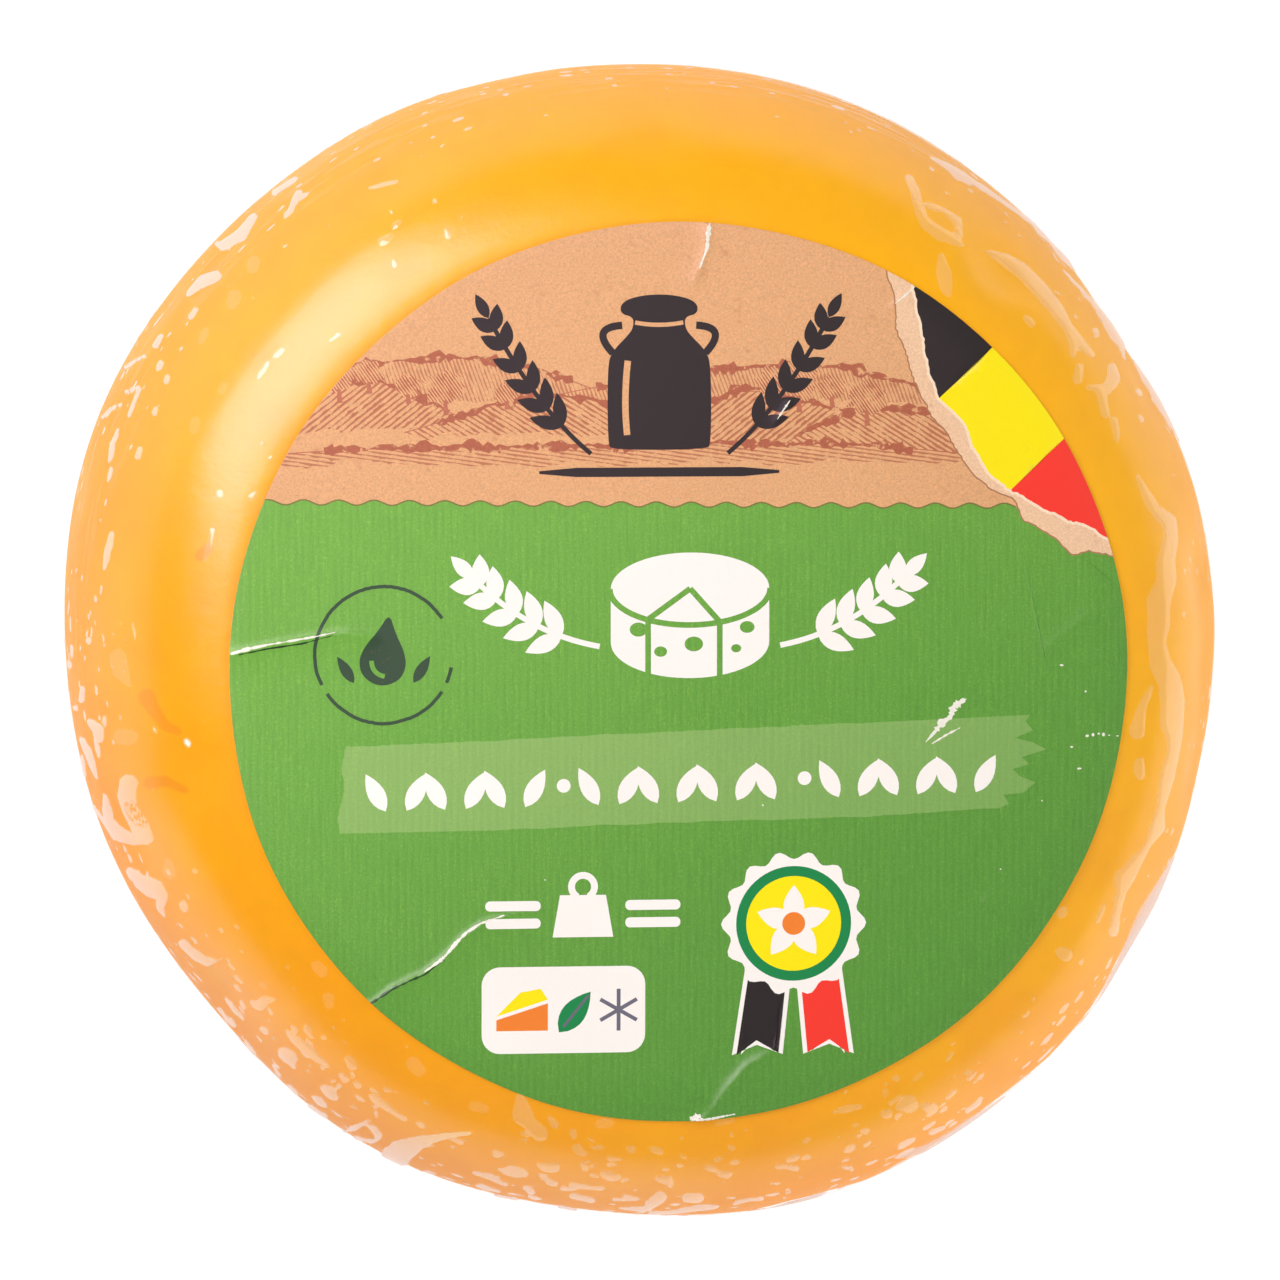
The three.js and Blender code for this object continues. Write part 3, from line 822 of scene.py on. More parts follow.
KRAFT = srgb(226, 169, 119)
INKS = {
    "green": Ink(srgb(115, 175, 66), ribs=1.0),
    "pale green": Ink(srgb(150, 190, 104), ribs=0.7),
    "kraft": Ink(KRAFT, fibres=1.0),
    "scallop line": Ink(srgb(122, 116, 56), fibres=0.5),
    "black": Ink(srgb(50, 44, 42), gloss=0.4),
    "yellow": Ink(srgb(255, 233, 0), gloss=0.6),
    "red": Ink(srgb(252, 60, 46), gloss=0.6),
    "torn paper": Ink(srgb(240, 198, 160), fibres=0.8),
    "torn edge": Ink(srgb(252, 224, 194), fibres=0.4),
    "torn shade": Ink(srgb(176, 122, 84), fibres=0.4),
    "white": Ink(srgb(253, 246, 240), gloss=0.2),
    "stamp": Ink(srgb(52, 78, 54), fibres=0.3),
    "brown": Ink(srgb(190, 112, 82), fibres=0.8),
    "bare paper and fold highlight": Ink(srgb(240, 236, 222), fibres=0.3),
    "fold shade": Ink(srgb(38, 66, 34), ribs=0.3),
    "leaf green": Ink(srgb(24, 138, 74), gloss=0.3),
    "orange": Ink(srgb(245, 132, 44), gloss=0.3),
    "slate": Ink(srgb(110, 106, 122)),
    "paper core": Ink(srgb(236, 230, 214), fibres=0.3),
}
ENGRAVED = {
    # the lines' slope in degrees, their spacing in millimetres, and how dark they are
    "hill facing left": (58, 0.5, 0.85),
    "hill facing right": (-52, 0.54, 0.85),
    "low field": (82, 0.44, 0.75),
    "far field": (20, 0.4, 0.7),
    "tree": (35, 0.3, 1.0),
    "hedge": (0, 1e6, 1.0),
}
ENGRAVED_BROWN = srgb(178, 98, 68)
INKS.update({name: Ink(KRAFT, fibres=1.0, lines=lines) for name, lines in ENGRAVED.items()})


def ellipse(x, y, across, up=None, steps=40):
    angle = np.linspace(0, TURN, steps, endpoint=False)
    return np.stack([x + across * np.cos(angle), y + (up or across) * np.sin(angle)], 1)


def turned(points, degrees):
    c, s = math.cos(math.radians(degrees)), math.sin(math.radians(degrees))
    return np.asarray(points, float) @ np.array([[c, s], [-s, c]])


def leaf(x, y, length, width, degrees):
    """A pointed oval with its base at x, y."""
    t = np.linspace(0, 1, 9)
    half = width / 2 * np.sin(np.pi * t**0.85) ** 0.9
    loop = np.concatenate([np.stack([t * length, half], 1), np.stack([t * length, -half], 1)[-2:0:-1]])
    return turned(loop, degrees) + (x, y)


def band(path, width=0.0):
    """The loop round a path. Its half widths are the path's third values, or half of width."""
    rows = np.array([(*row, width / 2)[:3] for row in path], float)
    step = np.gradient(rows[:, :2], axis=0)
    side = np.stack([-step[:, 1], step[:, 0]], 1) / np.linalg.norm(step, axis=1, keepdims=True)
    reach = rows[:, 2:3]
    return np.concatenate([rows[:, :2] + side * reach, (rows[:, :2] - side * reach)[::-1]])


def arc(x, y, radius, start, end, steps=30, squash=1.0):
    angle = np.radians(np.linspace(start, end, steps))
    return np.stack([x + radius * np.cos(angle), y + radius * squash * np.sin(angle)], 1)


def bend(start, middle, end, steps=14):
    """Points on a quadratic curve."""
    t = np.linspace(0, 1, steps)[:, None]
    a, b, c = (np.array(p, float) for p in (start, middle, end))
    return (1 - t) ** 2 * a + 2 * t * (1 - t) * b + t**2 * c


def rounded_box(left, bottom, right, top, radius):
    corners = [(right, top, 0), (left, top, 90), (left, bottom, 180), (right, bottom, 270)]
    loop = []
    for x, y, start in corners:
        inset_x = x - radius if x == right else x + radius
        inset_y = y - radius if y == top else y + radius
        loop.append(arc(inset_x, inset_y, radius, start, start + 90, 8))
    return np.concatenate(loop)


def softened(loop):
    """The loop with its corners cut, twice over."""
    for _ in range(2):
        ahead = np.roll(loop, -1, 0)
        loop = np.stack([0.75 * loop + 0.25 * ahead, 0.25 * loop + 0.75 * ahead], 1).reshape(-1, 2)
    return loop


def ragged(path, step, reach, seed):
    """The path cut into short steps and shaken by a chance that is larger over longer stretches."""
    path = np.asarray(path, float)
    length = np.concatenate([[0], np.cumsum(np.hypot(*np.diff(path, axis=0).T))])
    at = np.arange(0, length[-1], step)
    fine = np.stack([np.interp(at, length, path[:, k]) for k in (0, 1)], 1)
    chance = np.random.default_rng(seed)
    shake = chance.normal(size=fine.shape)
    slow = np.stack([np.convolve(shake[:, k], np.ones(5) / 5, "same") for k in (0, 1)], 1)
    return fine + (0.45 * shake + 1.2 * slow) * reach


def sprig(base, middle, tip, pairs, length, width, spread, stem):
    """A stem with pairs of leaves along its outer two thirds and one at the tip."""
    path = bend(base, middle, tip, 30)
    last = len(path) - 1
    loops = [band(path, stem)]
    for i in range(pairs):
        at = int((0.3 + 0.66 * i / (pairs - 1)) * last)
        place = path[at]
        along = path[min(at + 1, last)] - path[at - 1]
        heading = math.degrees(math.atan2(along[1], along[0]))
        size = length * (1 - 0.25 * i / pairs)
        loops += [leaf(*place, size, width, heading + spread), leaf(*place, size, width, heading - spread)]
    end = path[-1] - path[-2]
    loops.append(leaf(*path[-1], length * 0.8, width * 0.85, math.degrees(math.atan2(end[1], end[0]))))
    return loops


# Where the torn strip meets the kraft and green paper, and where it meets the stripes
TORN_INNER = [
    (21.6, 50), (22.2, 43.8), (22.8, 42.1), (23.5, 37.0), (24.5, 33.7), (26.2, 29.4), (27.9, 27.0),
    (31.2, 22.2), (33.6, 19.8), (36.3, 18.5), (37.3, 16.5), (41.1, 14.4), (42.7, 12.7), (44.4, 13.2),
    (47.1, 12.4), (52, 11.6),
]
TORN_OUTER = [
    (24.6, 50), (25.1, 42.0), (25.5, 39.4), (26.7, 33.7), (27.7, 29.7), (29.9, 27.9), (31.6, 24.6),
    (33.3, 21.6), (36.0, 19.5), (39.7, 17.5), (43.8, 15.8), (46.6, 14.4), (52, 12.8),
]
STRIPE_SLOPE = 42.8
BLACK_TO_YELLOW = (27.7, 29.7)
YELLOW_TO_RED = (35.8, 19.8)
SCALLOP_PITCH = 3.8
SCALLOP_DEPTH = 0.28
FAR = 60.0  # beyond the label's edge


def scallop_line():
    x = np.arange(-50, 36.5, 0.3)
    y = mix(18.95, 18.1, (x + 45) / 80) + SCALLOP_DEPTH * np.sin(2 * np.pi * x / SCALLOP_PITCH)
    return np.stack([x, y], 1)


def paper_fields():
    """The large fields of the print: kraft above, green below the scalloped line."""
    scallop = scallop_line()
    yield "green", np.concatenate([scallop, [(FAR, 0), (FAR, -FAR), (-FAR, -FAR), (-FAR, 20)]])
    yield "scallop line", band(scallop, 0.17)


def torn_corner():
    """The corner where the kraft paper is torn back over three plain stripes."""
    inner = ragged(TORN_INNER, 0.4, 0.12, 3)
    outer = ragged(TORN_OUTER, 0.4, 0.12, 4)
    changes = (BLACK_TO_YELLOW, YELLOW_TO_RED)
    first, second = (int(np.argmin(np.hypot(*(outer - change).T))) for change in changes)
    along = turned([(1, 0)], STRIPE_SLOPE)[0] * FAR
    top, middle, bottom = outer[: first + 1], outer[first : second + 1], outer[second:]
    scallop = scallop_line()
    meets = int(np.argmin(np.hypot(*(inner - scallop[-1]).T)))
    yield "green", np.concatenate([inner[meets:], [(FAR, 0), (40, 0), scallop[-1] - (0, 1)]])
    yield "black", np.concatenate([top, [outer[first] + along, (FAR, FAR)]])
    yield "yellow", np.concatenate([middle, [outer[second] + along, outer[first] + along]])
    yield "red", np.concatenate([bottom, [(FAR, 20), outer[second] + along]])
    yield "torn paper", np.concatenate([inner, outer[::-1]])
    yield "torn shade", band(inner[1:-1], 0.16)
    yield "torn edge", band(outer[1:-1], 0.3)


def hills():
    """Generic engraved country across the kraft paper: hills, fields and round trees."""
    rows = [
        # ink, left and right end, level of the foot, height, and seed
        ("far field", -47, -8, 30.5, 4.0, 1),
        ("far field", -14, 31, 30.0, 3.4, 2),
        ("hill facing right", -49, -22, 27.2, 4.6, 3),
        ("hill facing left", -30, 4, 26.6, 3.4, 4),
        ("hill facing right", -4, 22, 26.2, 4.4, 5),
        ("hill facing left", 10, 38, 24.4, 4.6, 6),
        ("low field", -47, 34, 23.6, 1.6, 7),
    ]
    for ink, left, right, foot, height, seed in rows:
        t = np.linspace(0, 1, 40)
        level = foot + height * np.sin(np.pi * t) + 0.3 * np.sin(9 * t + seed)
        ridge = np.stack([mix(left, right, t), level], 1)
        base = ragged([(right, foot - 0.6), (left, foot - 0.6)], 0.7, 0.35, seed)
        yield ink, np.concatenate([ridge, base])
        yield "brown", band(ridge, 0.1)
        line = ragged(ridge[4:-4], 0.5, 0.16, seed + 30)
        thick = np.random.default_rng(seed + 50).uniform(0.1, 0.9, len(line))
        thick *= 0.3 + 0.7 * np.sin(np.arange(len(line)) * 0.21 + seed) ** 2
        yield "hedge", band(np.column_stack([line, thick]).tolist())
    chance = np.random.default_rng(11)
    trees = [
        (-37, 32.4, 1.9), (-33.8, 32.8, 1.5), (-29.6, 31.4, 1.3), (-25.6, 31.2, 2.0), (9.8, 31.6, 1.7),
        (12.6, 31.8, 2.3), (16.2, 31.0, 1.4), (20.0, 30.0, 2.1), (-41.5, 29.8, 1.2), (-19, 30.6, 1.2),
    ]
    for x, y, size in trees:
        angle = np.linspace(0, TURN, 26, endpoint=False)
        radius = size * (1 + 0.16 * chance.normal(size=26))
        yield "tree", np.stack([x + radius * np.cos(angle), y + 0.9 * radius * np.sin(angle)], 1)
        yield "brown", band([(x, y - size * 0.7, 0.18), (x + 0.1, y - size * 1.5, 0.3)])


def churn_and_wheat():
    """The dark emblem on the kraft paper: a milk churn between two ears of wheat, over a plain rule."""
    middle, foot = -2.5, 24.4
    half = [(5.1, 0), (5.6, 0.7), (5.6, 9.0), (5.1, 10.6), (3.3, 12.4), (2.8, 13.2), (2.8, 14.3), (4.1, 14.6),
            (4.2, 15.6), (3.2, 16.3), (1.2, 16.7)]
    body = np.array(half + [(-x, y) for x, y in reversed(half)]) + (middle, foot)
    yield "black", softened(body)

    def placed(*points):
        """Places given from the middle of the churn's foot."""
        return [(middle + across, foot + up) for across, up in points]

    for side in (-1, 1):
        yield "black", band(bend(*placed((side * 5.0, 10.4), (side * 7.6, 13.2), (side * 4.0, 13.4))), 0.8)
        stem = placed((side * 7.4, -0.4), (side * 13.0, 4.2), (side * 18.4, 14.2))
        for loop in sprig(*stem, 6, 3.7, 1.5, 33, 0.5):
            yield "black", loop
    yield "kraft", band(bend(*placed((-3.5, 1.6), (-3.9, 5.5), (-3.4, 9.6))), 0.7)
    yield "kraft", band(bend(*placed((-2.6, 13.7), (0, 13.2), (2.6, 13.7))), 0.45)
    rule = [(-13, 0.15), (-9, 0.5), (9, 0.5), (13, 0.15)]
    yield "black", band([(middle + across, foot - 2.4, half_width) for across, half_width in rule])


def cut_wheel_and_sprigs():
    """The white emblem on the green paper: a cheese with a wedge cut, between two sprigs."""
    x, low, high, across, squash = 0.8, 3.6, 9.4, 8.6, 3.9 / 8.6
    top, foot = arc(x, high, across, 0, 180, squash=squash), arc(x, low, across, 180, 360, squash=squash)
    yield "white", np.concatenate([top, foot])
    gap = 0.62
    yield "green", band(arc(x, high, across + 0.1, 180, 360, squash=squash), gap)
    for degrees in (238, 292):
        edge = arc(x, high, across, degrees, degrees + 1, 2, squash)[0]
        yield "green", band([(x, high), tuple(edge)], gap)
        yield "green", band([tuple(edge), (edge[0], edge[1] - 6.4)], gap)
    holes = [(-5.6, 5.0, 0.95), (-3.2, 2.6, 0.7), (0.4, 3.4, 1.0), (6.2, 5.2, 0.8), (5.0, 2.9, 0.55)]
    for dx, dy, size in holes:
        yield "green", ellipse(x + dx, dy, size, size * 0.8)
    for side in (-1, 1):
        stem = [(x + side * 9.8, 3.2), (x + side * 17.5, 4.6), (x + side * 23.4, 10.6)]
        for loop in sprig(*stem, 5, 4.3, 1.9, 44, 0.6):
            yield "white", loop


def pale_band():
    """The brushed band with its ragged right end, and a plain row of grains on it."""
    left = [(-36.3, -7.5), (-36.9, -10), (-36.6, -12.6), (-37.3, -15.2), (-37.1, -17.0)]
    bottom = [(-20, -16.6), (0, -16.0), (20, -15.6), (33.0, -14.9)]
    right = [
        (34.6, -14.9), (35.8, -14.4), (35.2, -13.4), (37.4, -13.2), (38.7, -12.1), (37.0, -11.4),
        (36.2, -10.6), (38.0, -10.1), (37.2, -9.3), (39.9, -8.5), (38.4, -7.7), (36.4, -7.2),
        (38.4, -6.4), (37.6, -5.4), (38.1, -4.7),
    ]
    top = [(20, -5.3), (0, -6.0), (-20, -6.9), (-36.3, -7.5)]
    sides = [ragged(left, 0.5, 0.1, 21), ragged(bottom, 0.5, 0.05, 22), right, ragged(top, 0.5, 0.05, 23)]
    yield "pale green", np.concatenate(sides)
    for start, count in ((-32.6, 6), (-9.6, 7), (16.6, 6)):
        for i in range(count):
            x = start + 3.2 * i
            y = grain_row(x)
            lean = 62 if i % 2 else 118
            yield "white", leaf(x - 1.0 * math.cos(math.radians(lean)), y - 2.2, 4.6, 1.9, lean)
    for x in (-12.9, 13.3):
        yield "white", ellipse(x, grain_row(x), 0.75)


def grain_row(x):
    return -11.6 + 0.022 * x


def stamp():
    """The dark green ring with a milk drop, worn like a stamp."""
    x, y, radius, line = -32.3, 2.4, 7.4, 0.38
    for start, end in ((32, 208), (214, 330), (336, 352)):
        ring = ragged(arc(x, y, radius, start, end, 60), 0.35, 0.03, start)
        yield "stamp", band(ring, line)
    half = [(0.9, 2.6), (2.2, 0.6), (2.6, -1.0), (2.0, -2.6)]
    drop = [(0, 4.6), *half, (0, -3.5), *((-across, up) for across, up in reversed(half))]
    yield "stamp", softened(turned(drop, -8)) + (x, y)
    yield "green", band(bend((x - 1.3, y - 0.6), (x - 1.3, y - 2.0), (x + 0.1, y - 2.3)), 0.5)
    for side in (-1, 1):
        yield "stamp", leaf(x + side * 3.2, y - 3.0, 3.4, 1.2, 90 - side * 32)


def small_emblems():
    """Plain pictures where the label's small notices are."""
    # a kitchen weight between two bars
    x, y = -10.8, -25.2
    yield "white", np.array([(-3.3, -3.2), (3.3, -3.2), (2.5, 1.4), (-2.5, 1.4)]) + (x, y)
    yield "white", band(arc(x, y + 2.3, 1.25, -60, 240, 24), 0.75)
    for left in (x - 10.6, x + 4.6):
        yield "white", rounded_box(left, y - 2.2, left + 6.0, y - 1.1, 0.5)
        yield "white", rounded_box(left, y - 0.3, left + 6.0, y + 0.8, 0.5)
    # a white panel with a wedge, a leaf and a snowflake
    yield "white", rounded_box(-21.8, -41.1, -4.0, -31.6, 2.0)
    yield "orange", np.array([(-20.2, -38.6), (-14.6, -38.6), (-14.6, -35.6), (-20.2, -37.4)])
    yield "yellow", np.array([(-20.2, -37.0), (-14.6, -35.2), (-15.4, -34.0), (-17.6, -34.4)])
    yield "leaf green", leaf(-13.4, -38.8, 5.6, 2.6, 52)
    yield "slate", band([(-12.9, -38.2), (-10.2, -34.8)], 0.3)
    for degrees in (0, 60, 120):
        arm = turned([(-2.3, 0), (2.3, 0)], degrees + 30) + (-6.9, -36.4)
        yield "slate", band(arm.tolist(), 0.42)
    # a rosette with two ribbon tails
    x, y = 12.2, -27.2
    ribbon = np.array([(0.4, 0), (4.4, 0), (6.2, -12.4), (4.0, -10.8), (1.6, -12.2)])
    for side, ink in (-1, "black"), (1, "red"):
        tail = ribbon * (side, 1) + (x, y - 2)
        yield "white", band(np.concatenate([tail, tail[:1]]), 1.0)
        yield ink, tail
    angle = np.linspace(0, TURN, 96, endpoint=False)
    radius = 7.5 + 0.45 * np.cos(14 * angle)
    yield "white", np.stack([x + radius * np.cos(angle), y + radius * np.sin(angle)], 1)
    yield "leaf green", ellipse(x, y, 6.3, steps=60)
    yield "yellow", ellipse(x, y, 5.2, steps=60)
    for degrees in (90, 162, 234, 306, 18):
        yield "white", leaf(x, y, 4.2, 2.3, degrees)
    yield "orange", ellipse(x, y, 1.25)


# Wear on the label and painted light on its folds, as paths of photograph pixels with half widths: worn lines
# that are partly painted fold highlights, and painted shade in two folds
WORN_LINES_AND_FOLD_HIGHLIGHTS = [
    [(707, 219, 1.2), (705, 232, 2.0), (704, 245, 1.6), (699, 258, 1.0), (696, 266, 0.3)],
    [(228, 647, 1.2), (246, 642, 1.4), (265, 638, 1.0),
     (290, 634, 0.8), (313, 630, 1.0), (332, 626, 0.4)],
    [(420, 967, 0.4), (436, 956, 1.4), (442, 950, 1.2), (452, 938, 1.6),
     (462, 928, 1.2), (476, 919, 0.8), (500, 911, 0.6)],
    [(688, 1121, 1.5), (694, 1119, 3.0), (699, 1118, 2.0)],
    [(690, 1122, 1.0), (701, 1122, 1.6), (712, 1121, 1.2), (722, 1119, 0.9), (734, 1117, 0.6)],
    [(774, 416, 0.3), (780, 407, 1.4), (787, 397, 0.3)],
    [(893, 301, 0.3), (902, 294, 0.9), (915, 283, 0.3)],
    [(925, 741, 0.5), (934, 731, 2.2), (941, 722, 3.4), (950, 716, 2.4),
     (953, 706, 4.2), (962, 700, 3.0), (966, 698, 0.5)],
    [(931, 743, 0.4), (946, 734, 1.2), (960, 727, 0.4)],
]
FOLD_SHADES = [
    [(365, 1000, 1.0), (388, 984, 1.3), (405, 976, 1.2), (420, 970, 1.0), (440, 955, 0.4)],
    [(236, 648, 0.4), (265, 642, 0.9), (300, 637, 0.7), (330, 629, 0.3)],
]
SPECKS = [
    (1063, 665, 2.2, 1.0), (1088, 692, 1.0, 1.0), (1090, 737, 2.0, 1.4), (1096, 736, 1.6, 1.8),
    (1102, 735, 1.4, 1.0), (1107, 736, 1.6, 2.0), (1122, 738, 1.6, 0.6), (1074, 748, 1.6, 1.0),
    (1082, 770, 2.4, 1.0), (1113, 737, 1.2, 0.6), (541, 876, 0.8, 0.8), (760, 803, 0.8, 1.2),
    (1044, 802, 0.8, 0.8), (1002, 871, 0.8, 0.8),
]


def wear_and_fold_light():
    # Painted shade in two folds; lines that are partly worn print and partly painted fold highlights; worn
    # specks
    for seed, path in enumerate(FOLD_SHADES):
        yield "fold shade", worn_band(path, 40 + seed)
    for seed, path in enumerate(WORN_LINES_AND_FOLD_HIGHLIGHTS):
        yield "bare paper and fold highlight", worn_band(path, 60 + seed)
    for x, y, across, up in SPECKS:
        (cx, cy), = on_label([(x, y)])
        yield "bare paper and fold highlight", ellipse(cx, cy, across / LABEL_PHOTO_SCALE, up / LABEL_PHOTO_SCALE, 8)


def worn_band(path, seed):
    """A band round a path with an uneven width."""
    rows = np.array(on_label(path))
    at = np.linspace(0, len(rows) - 1, 6 * len(rows))
    fine = np.stack([np.interp(at, np.arange(len(rows)), rows[:, k]) for k in range(3)], 1)
    fine[:, 2] *= np.random.default_rng(seed).uniform(0.45, 1.5, len(fine))
    return band(fine.tolist())


def print_shapes():
    """Every printed shape in the order of printing, as the name of its ink and its loop."""
    order = (
        hills, paper_fields, torn_corner, churn_and_wheat, cut_wheel_and_sprigs, pale_band,
        stamp, small_emblems, wear_and_fold_light,
    )
    for part in order:
        yield from part()


# Label: paper

# Folds as paths of photograph pixels, with the ridge's height and the widths of its two flanks in millimetres
LABEL_STEPS = 420
SHEET_CLEARANCE = 0.15  # from the label's edge to the nearest free point
FOLDS = [
    ([(706, 215), (705, 245), (697, 265), (689, 290)], 0.3, 0.35, 1.1),
    ([(224, 648), (265, 639), (313, 630), (345, 626), (380, 632)], 0.34, 0.3, 1.3),
    ([(360, 1004), (388, 983), (420, 968), (442, 951), (458, 933), (478, 919), (530, 903)], 0.42, 0.25, 1.6),
    ([(686, 1128), (706, 1118), (726, 1088), (745, 1066), (780, 1048)], 0.5, 0.5, 1.8),
    ([(655, 1070), (680, 1082), (700, 1100)], 0.16, 0.8, 1.4),
    ([(1036, 950), (1000, 914), (980, 900)], 0.2, 0.5, 1.5),
    ([(935, 1050), (894, 1022)], 0.14, 0.5, 1.2),
    ([(1050, 644), (1064, 634), (1090, 613), (1108, 607), (1130, 610)], 0.22, 0.9, 1.6),
    ([(1060, 664), (1088, 663), (1108, 660), (1136, 657)], 0.14, 0.9, 1.2),
    ([(772, 418), (788, 396)], 0.12, 0.4, 0.8),
    ([(890, 302), (917, 282)], 0.16, 0.3, 0.8),
]
PAPER_STEP = 0.85
FOLD_STEP = 0.3
FOLD_REACH = 1.3


def fold_height(points):
    """How far folds lift the paper at places given in millimetres from the label's centre."""
    height = np.zeros(len(points))
    for pixels, ridge, near, far in FOLDS:
        path = np.array([(x, y, 0) for x, y in on_label(pixels)])
        away, along = distance_to_path(points, path)
        stretch = np.clip((along * (len(path) - 1)).astype(int), 0, len(path) - 2)
        spot = path[stretch]
        step = path[stretch + 1] - spot
        side = step[:, 0] * (points[:, 1] - spot[:, 1]) - step[:, 1] * (points[:, 0] - spot[:, 0])
        width = np.where(side > 0, near, far)
        height += ridge * np.exp(-away / width) * smoothstep(-0.02, 0.2, 1.02 - along)
    return height


def paper_points():
    """Free points of the label's mesh: an even grid, and a finer one along the folds."""
    even = hex_grid(PAPER_STEP)
    fine = hex_grid(FOLD_STEP)
    away = np.full(len(fine), 1e9)
    for pixels, *_ in FOLDS:
        away = np.minimum(away, distance_to_path(fine, [(x, y, 0) for x, y in on_label(pixels)])[0])
    points = np.concatenate([even, fine[away < FOLD_REACH]])
    return points[np.hypot(*points.T) < LABEL_RADIUS - SHEET_CLEARANCE]


def hex_grid(step):
    count = int(LABEL_RADIUS / step) + 1
    rows, columns = np.mgrid[-2 * count:2 * count + 1, -count:count + 1]
    x = columns * step + (rows % 2) * step / 2
    points = np.stack([x.ravel(), (rows * step * 0.866).ravel()], 1)
    return points[np.hypot(*points.T) < LABEL_RADIUS]


def label_outline():
    angle = np.linspace(0, TURN, LABEL_STEPS, endpoint=False)
    wobble = 0.05 * np.sin(7 * angle + 1) + 0.04 * np.sin(13 * angle)
    radius = LABEL_RADIUS + wobble
    return np.stack([radius * np.cos(angle), radius * np.sin(angle)], 1)


def label_level(flat):
    """Height of the paper's face, in the wheel's own millimetres, at places from the label's centre."""
    place = flat + LABEL_CENTRE
    return top_level(place[:, 0], place[:, 1]) + FILM_GAP + PAPER_THICKNESS + fold_height(flat)


def winding(points, loop):
    """How many times a loop goes round each point."""
    turns = np.zeros(len(points), int)
    for start, end in zip(loop, np.roll(loop, -1, 0)):
        step = end - start
        left = step[0] * (points[:, 1] - start[1]) - step[1] * (points[:, 0] - start[0])
        turns += (start[1] <= points[:, 1]) & (end[1] > points[:, 1]) & (left > 0)
        turns -= (start[1] > points[:, 1]) & (end[1] <= points[:, 1]) & (left < 0)
    return turns


def printed_sheet():
    """Cuts the label's disc along every printed outline. Returns its points, triangles and their inks."""
    outline = label_outline()
    shapes = [("kraft", outline)] + [(ink, np.asarray(loop, float)) for ink, loop in print_shapes()]
    points, edges = [], []
    for _, loop in shapes:
        first = len(points)
        points.extend(Vector(p) for p in loop)
        edges.extend((first + i, first + (i + 1) % len(loop)) for i in range(len(loop)))
    points.extend(Vector(p) for p in paper_points())
    cut = geometry.delaunay_2d_cdt(points, edges, [], 0, 1e-5)
    flat, triangles = np.array([tuple(p) for p in cut[0]]), np.array(cut[2])
    middle = flat[triangles].mean(1)
    used, triangles = np.unique(triangles[winding(middle, outline) != 0], return_inverse=True)
    flat, triangles = flat[used], triangles.reshape(-1, 3)
    middle = flat[triangles].mean(1)
    top = np.zeros(len(triangles), int)
    for number, (_, loop) in enumerate(shapes[1:], 1):
        near = np.flatnonzero(((middle > loop.min(0)) & (middle < loop.max(0))).all(1))
        top[near[winding(middle[near], loop) != 0]] = number
    a, b, c = (flat[triangles[:, corner]] for corner in range(3))
    triangles = np.where((np.cross(b - a, c - a) < 0)[:, None], triangles[:, ::-1], triangles)
    return flat, triangles.tolist(), [shapes[number][0] for number in top]


def sheet_edge(triangles):
    """The points round the sheet's edge, in anticlockwise order."""
    sides = {side for a, b, c in triangles for side in ((a, b), (b, c), (c, a))}
    ahead = {a: b for a, b in sides if (b, a) not in sides}
    loop = [min(ahead)]
    while ahead[loop[-1]] != loop[0]:
        loop.append(ahead[loop[-1]])
    return np.array(loop)


UNDERSIDE_RINGS = (1.0, 0.8, 0.6, 0.4, 0.2)
RIB_PITCH = 0.83
KRAFT_FLECK = srgb(176, 108, 66)
WARM_GREEN = srgb(176, 200, 88)
# Painted shade colour of the green print
PAINTED_SHADE_GREEN = srgb(70, 134, 50)


def label_finish():
    """Satin paper: printed colour with ribs, fibres, engraved lines and grain, and painted shade over the
    green print.
    """
    finish = Finish(bpy.data.materials.new("printed_paper"))
    here = finish.place()
    texture = finish.attribute("texture", "Vector")
    ribbed, fibrous, gloss = (finish.part(texture, axis) for axis in range(3))
    engraving = finish.attribute("engraving", "Vector")
    across, up = finish.part(here, 0), finish.part(here, 1)
    # Engraved lines that swell and break
    speckle = finish.noise(here, 0.24, 2, 0.8)
    shaken = finish.noise(here, 1.3, 2, 0.7)
    phase = across * finish.part(engraving, 0) + up * finish.part(engraving, 1) + shaken * 0.5
    cut = ((phase * TURN).sine() + (shaken - 0.5) * 4.0 + (speckle - 0.5) * 2.2).rising(0.1, 0.6)
    inked = (cut * finish.part(engraving, 2)).least(1.0)
    colour = finish.blend(inked, finish.attribute("ink", "Color"), ENGRAVED_BROWN)
    # Ribs of the paper, upright on the print
    narrow = finish.noise(finish.scaled(here, (1, 0.06, 1)), 0.22, 2, 0.7)
    wide = (across * (TURN / RIB_PITCH) + narrow * 3.0).sine()
    ribs = (wide * 0.035 + (narrow - 0.5) * 0.3) * ribbed
    grain = (speckle - 0.5) * (ribbed * 0.36 + fibrous * 0.7 + 0.06)
    fleck = (shaken + (speckle - 0.5) * 0.8).rising(0.66, 0.8) * fibrous
    colour = finish.blend(fleck * 0.45, colour, KRAFT_FLECK)
    warm = (speckle + (narrow - 0.5) * 0.5).rising(0.56, 0.74) * ribbed
    colour = finish.blend(warm * 0.26, colour, WARM_GREEN)
    clouds = finish.noise(here, 22, 0)
    # Painted shade: the ribbed green darkens from the upper left towards the lower right, broken by clouds
    painted_shade = (across * 0.6 - up + (clouds - 0.5) * 30).rising(-50, 62) * ribbed
    colour = finish.blend(painted_shade * 0.62, colour, PAINTED_SHADE_GREEN)
    colour = finish.shaded(colour, 0.97 + ribs + grain + (clouds - 0.5) * 0.08)
    relief = finish.bump(speckle, 0.015)
    shader = finish.principled(Base_Color=colour, Roughness=0.44 - gloss * 0.1, Normal=relief, IOR=1.46)
    return finish.done(shader)


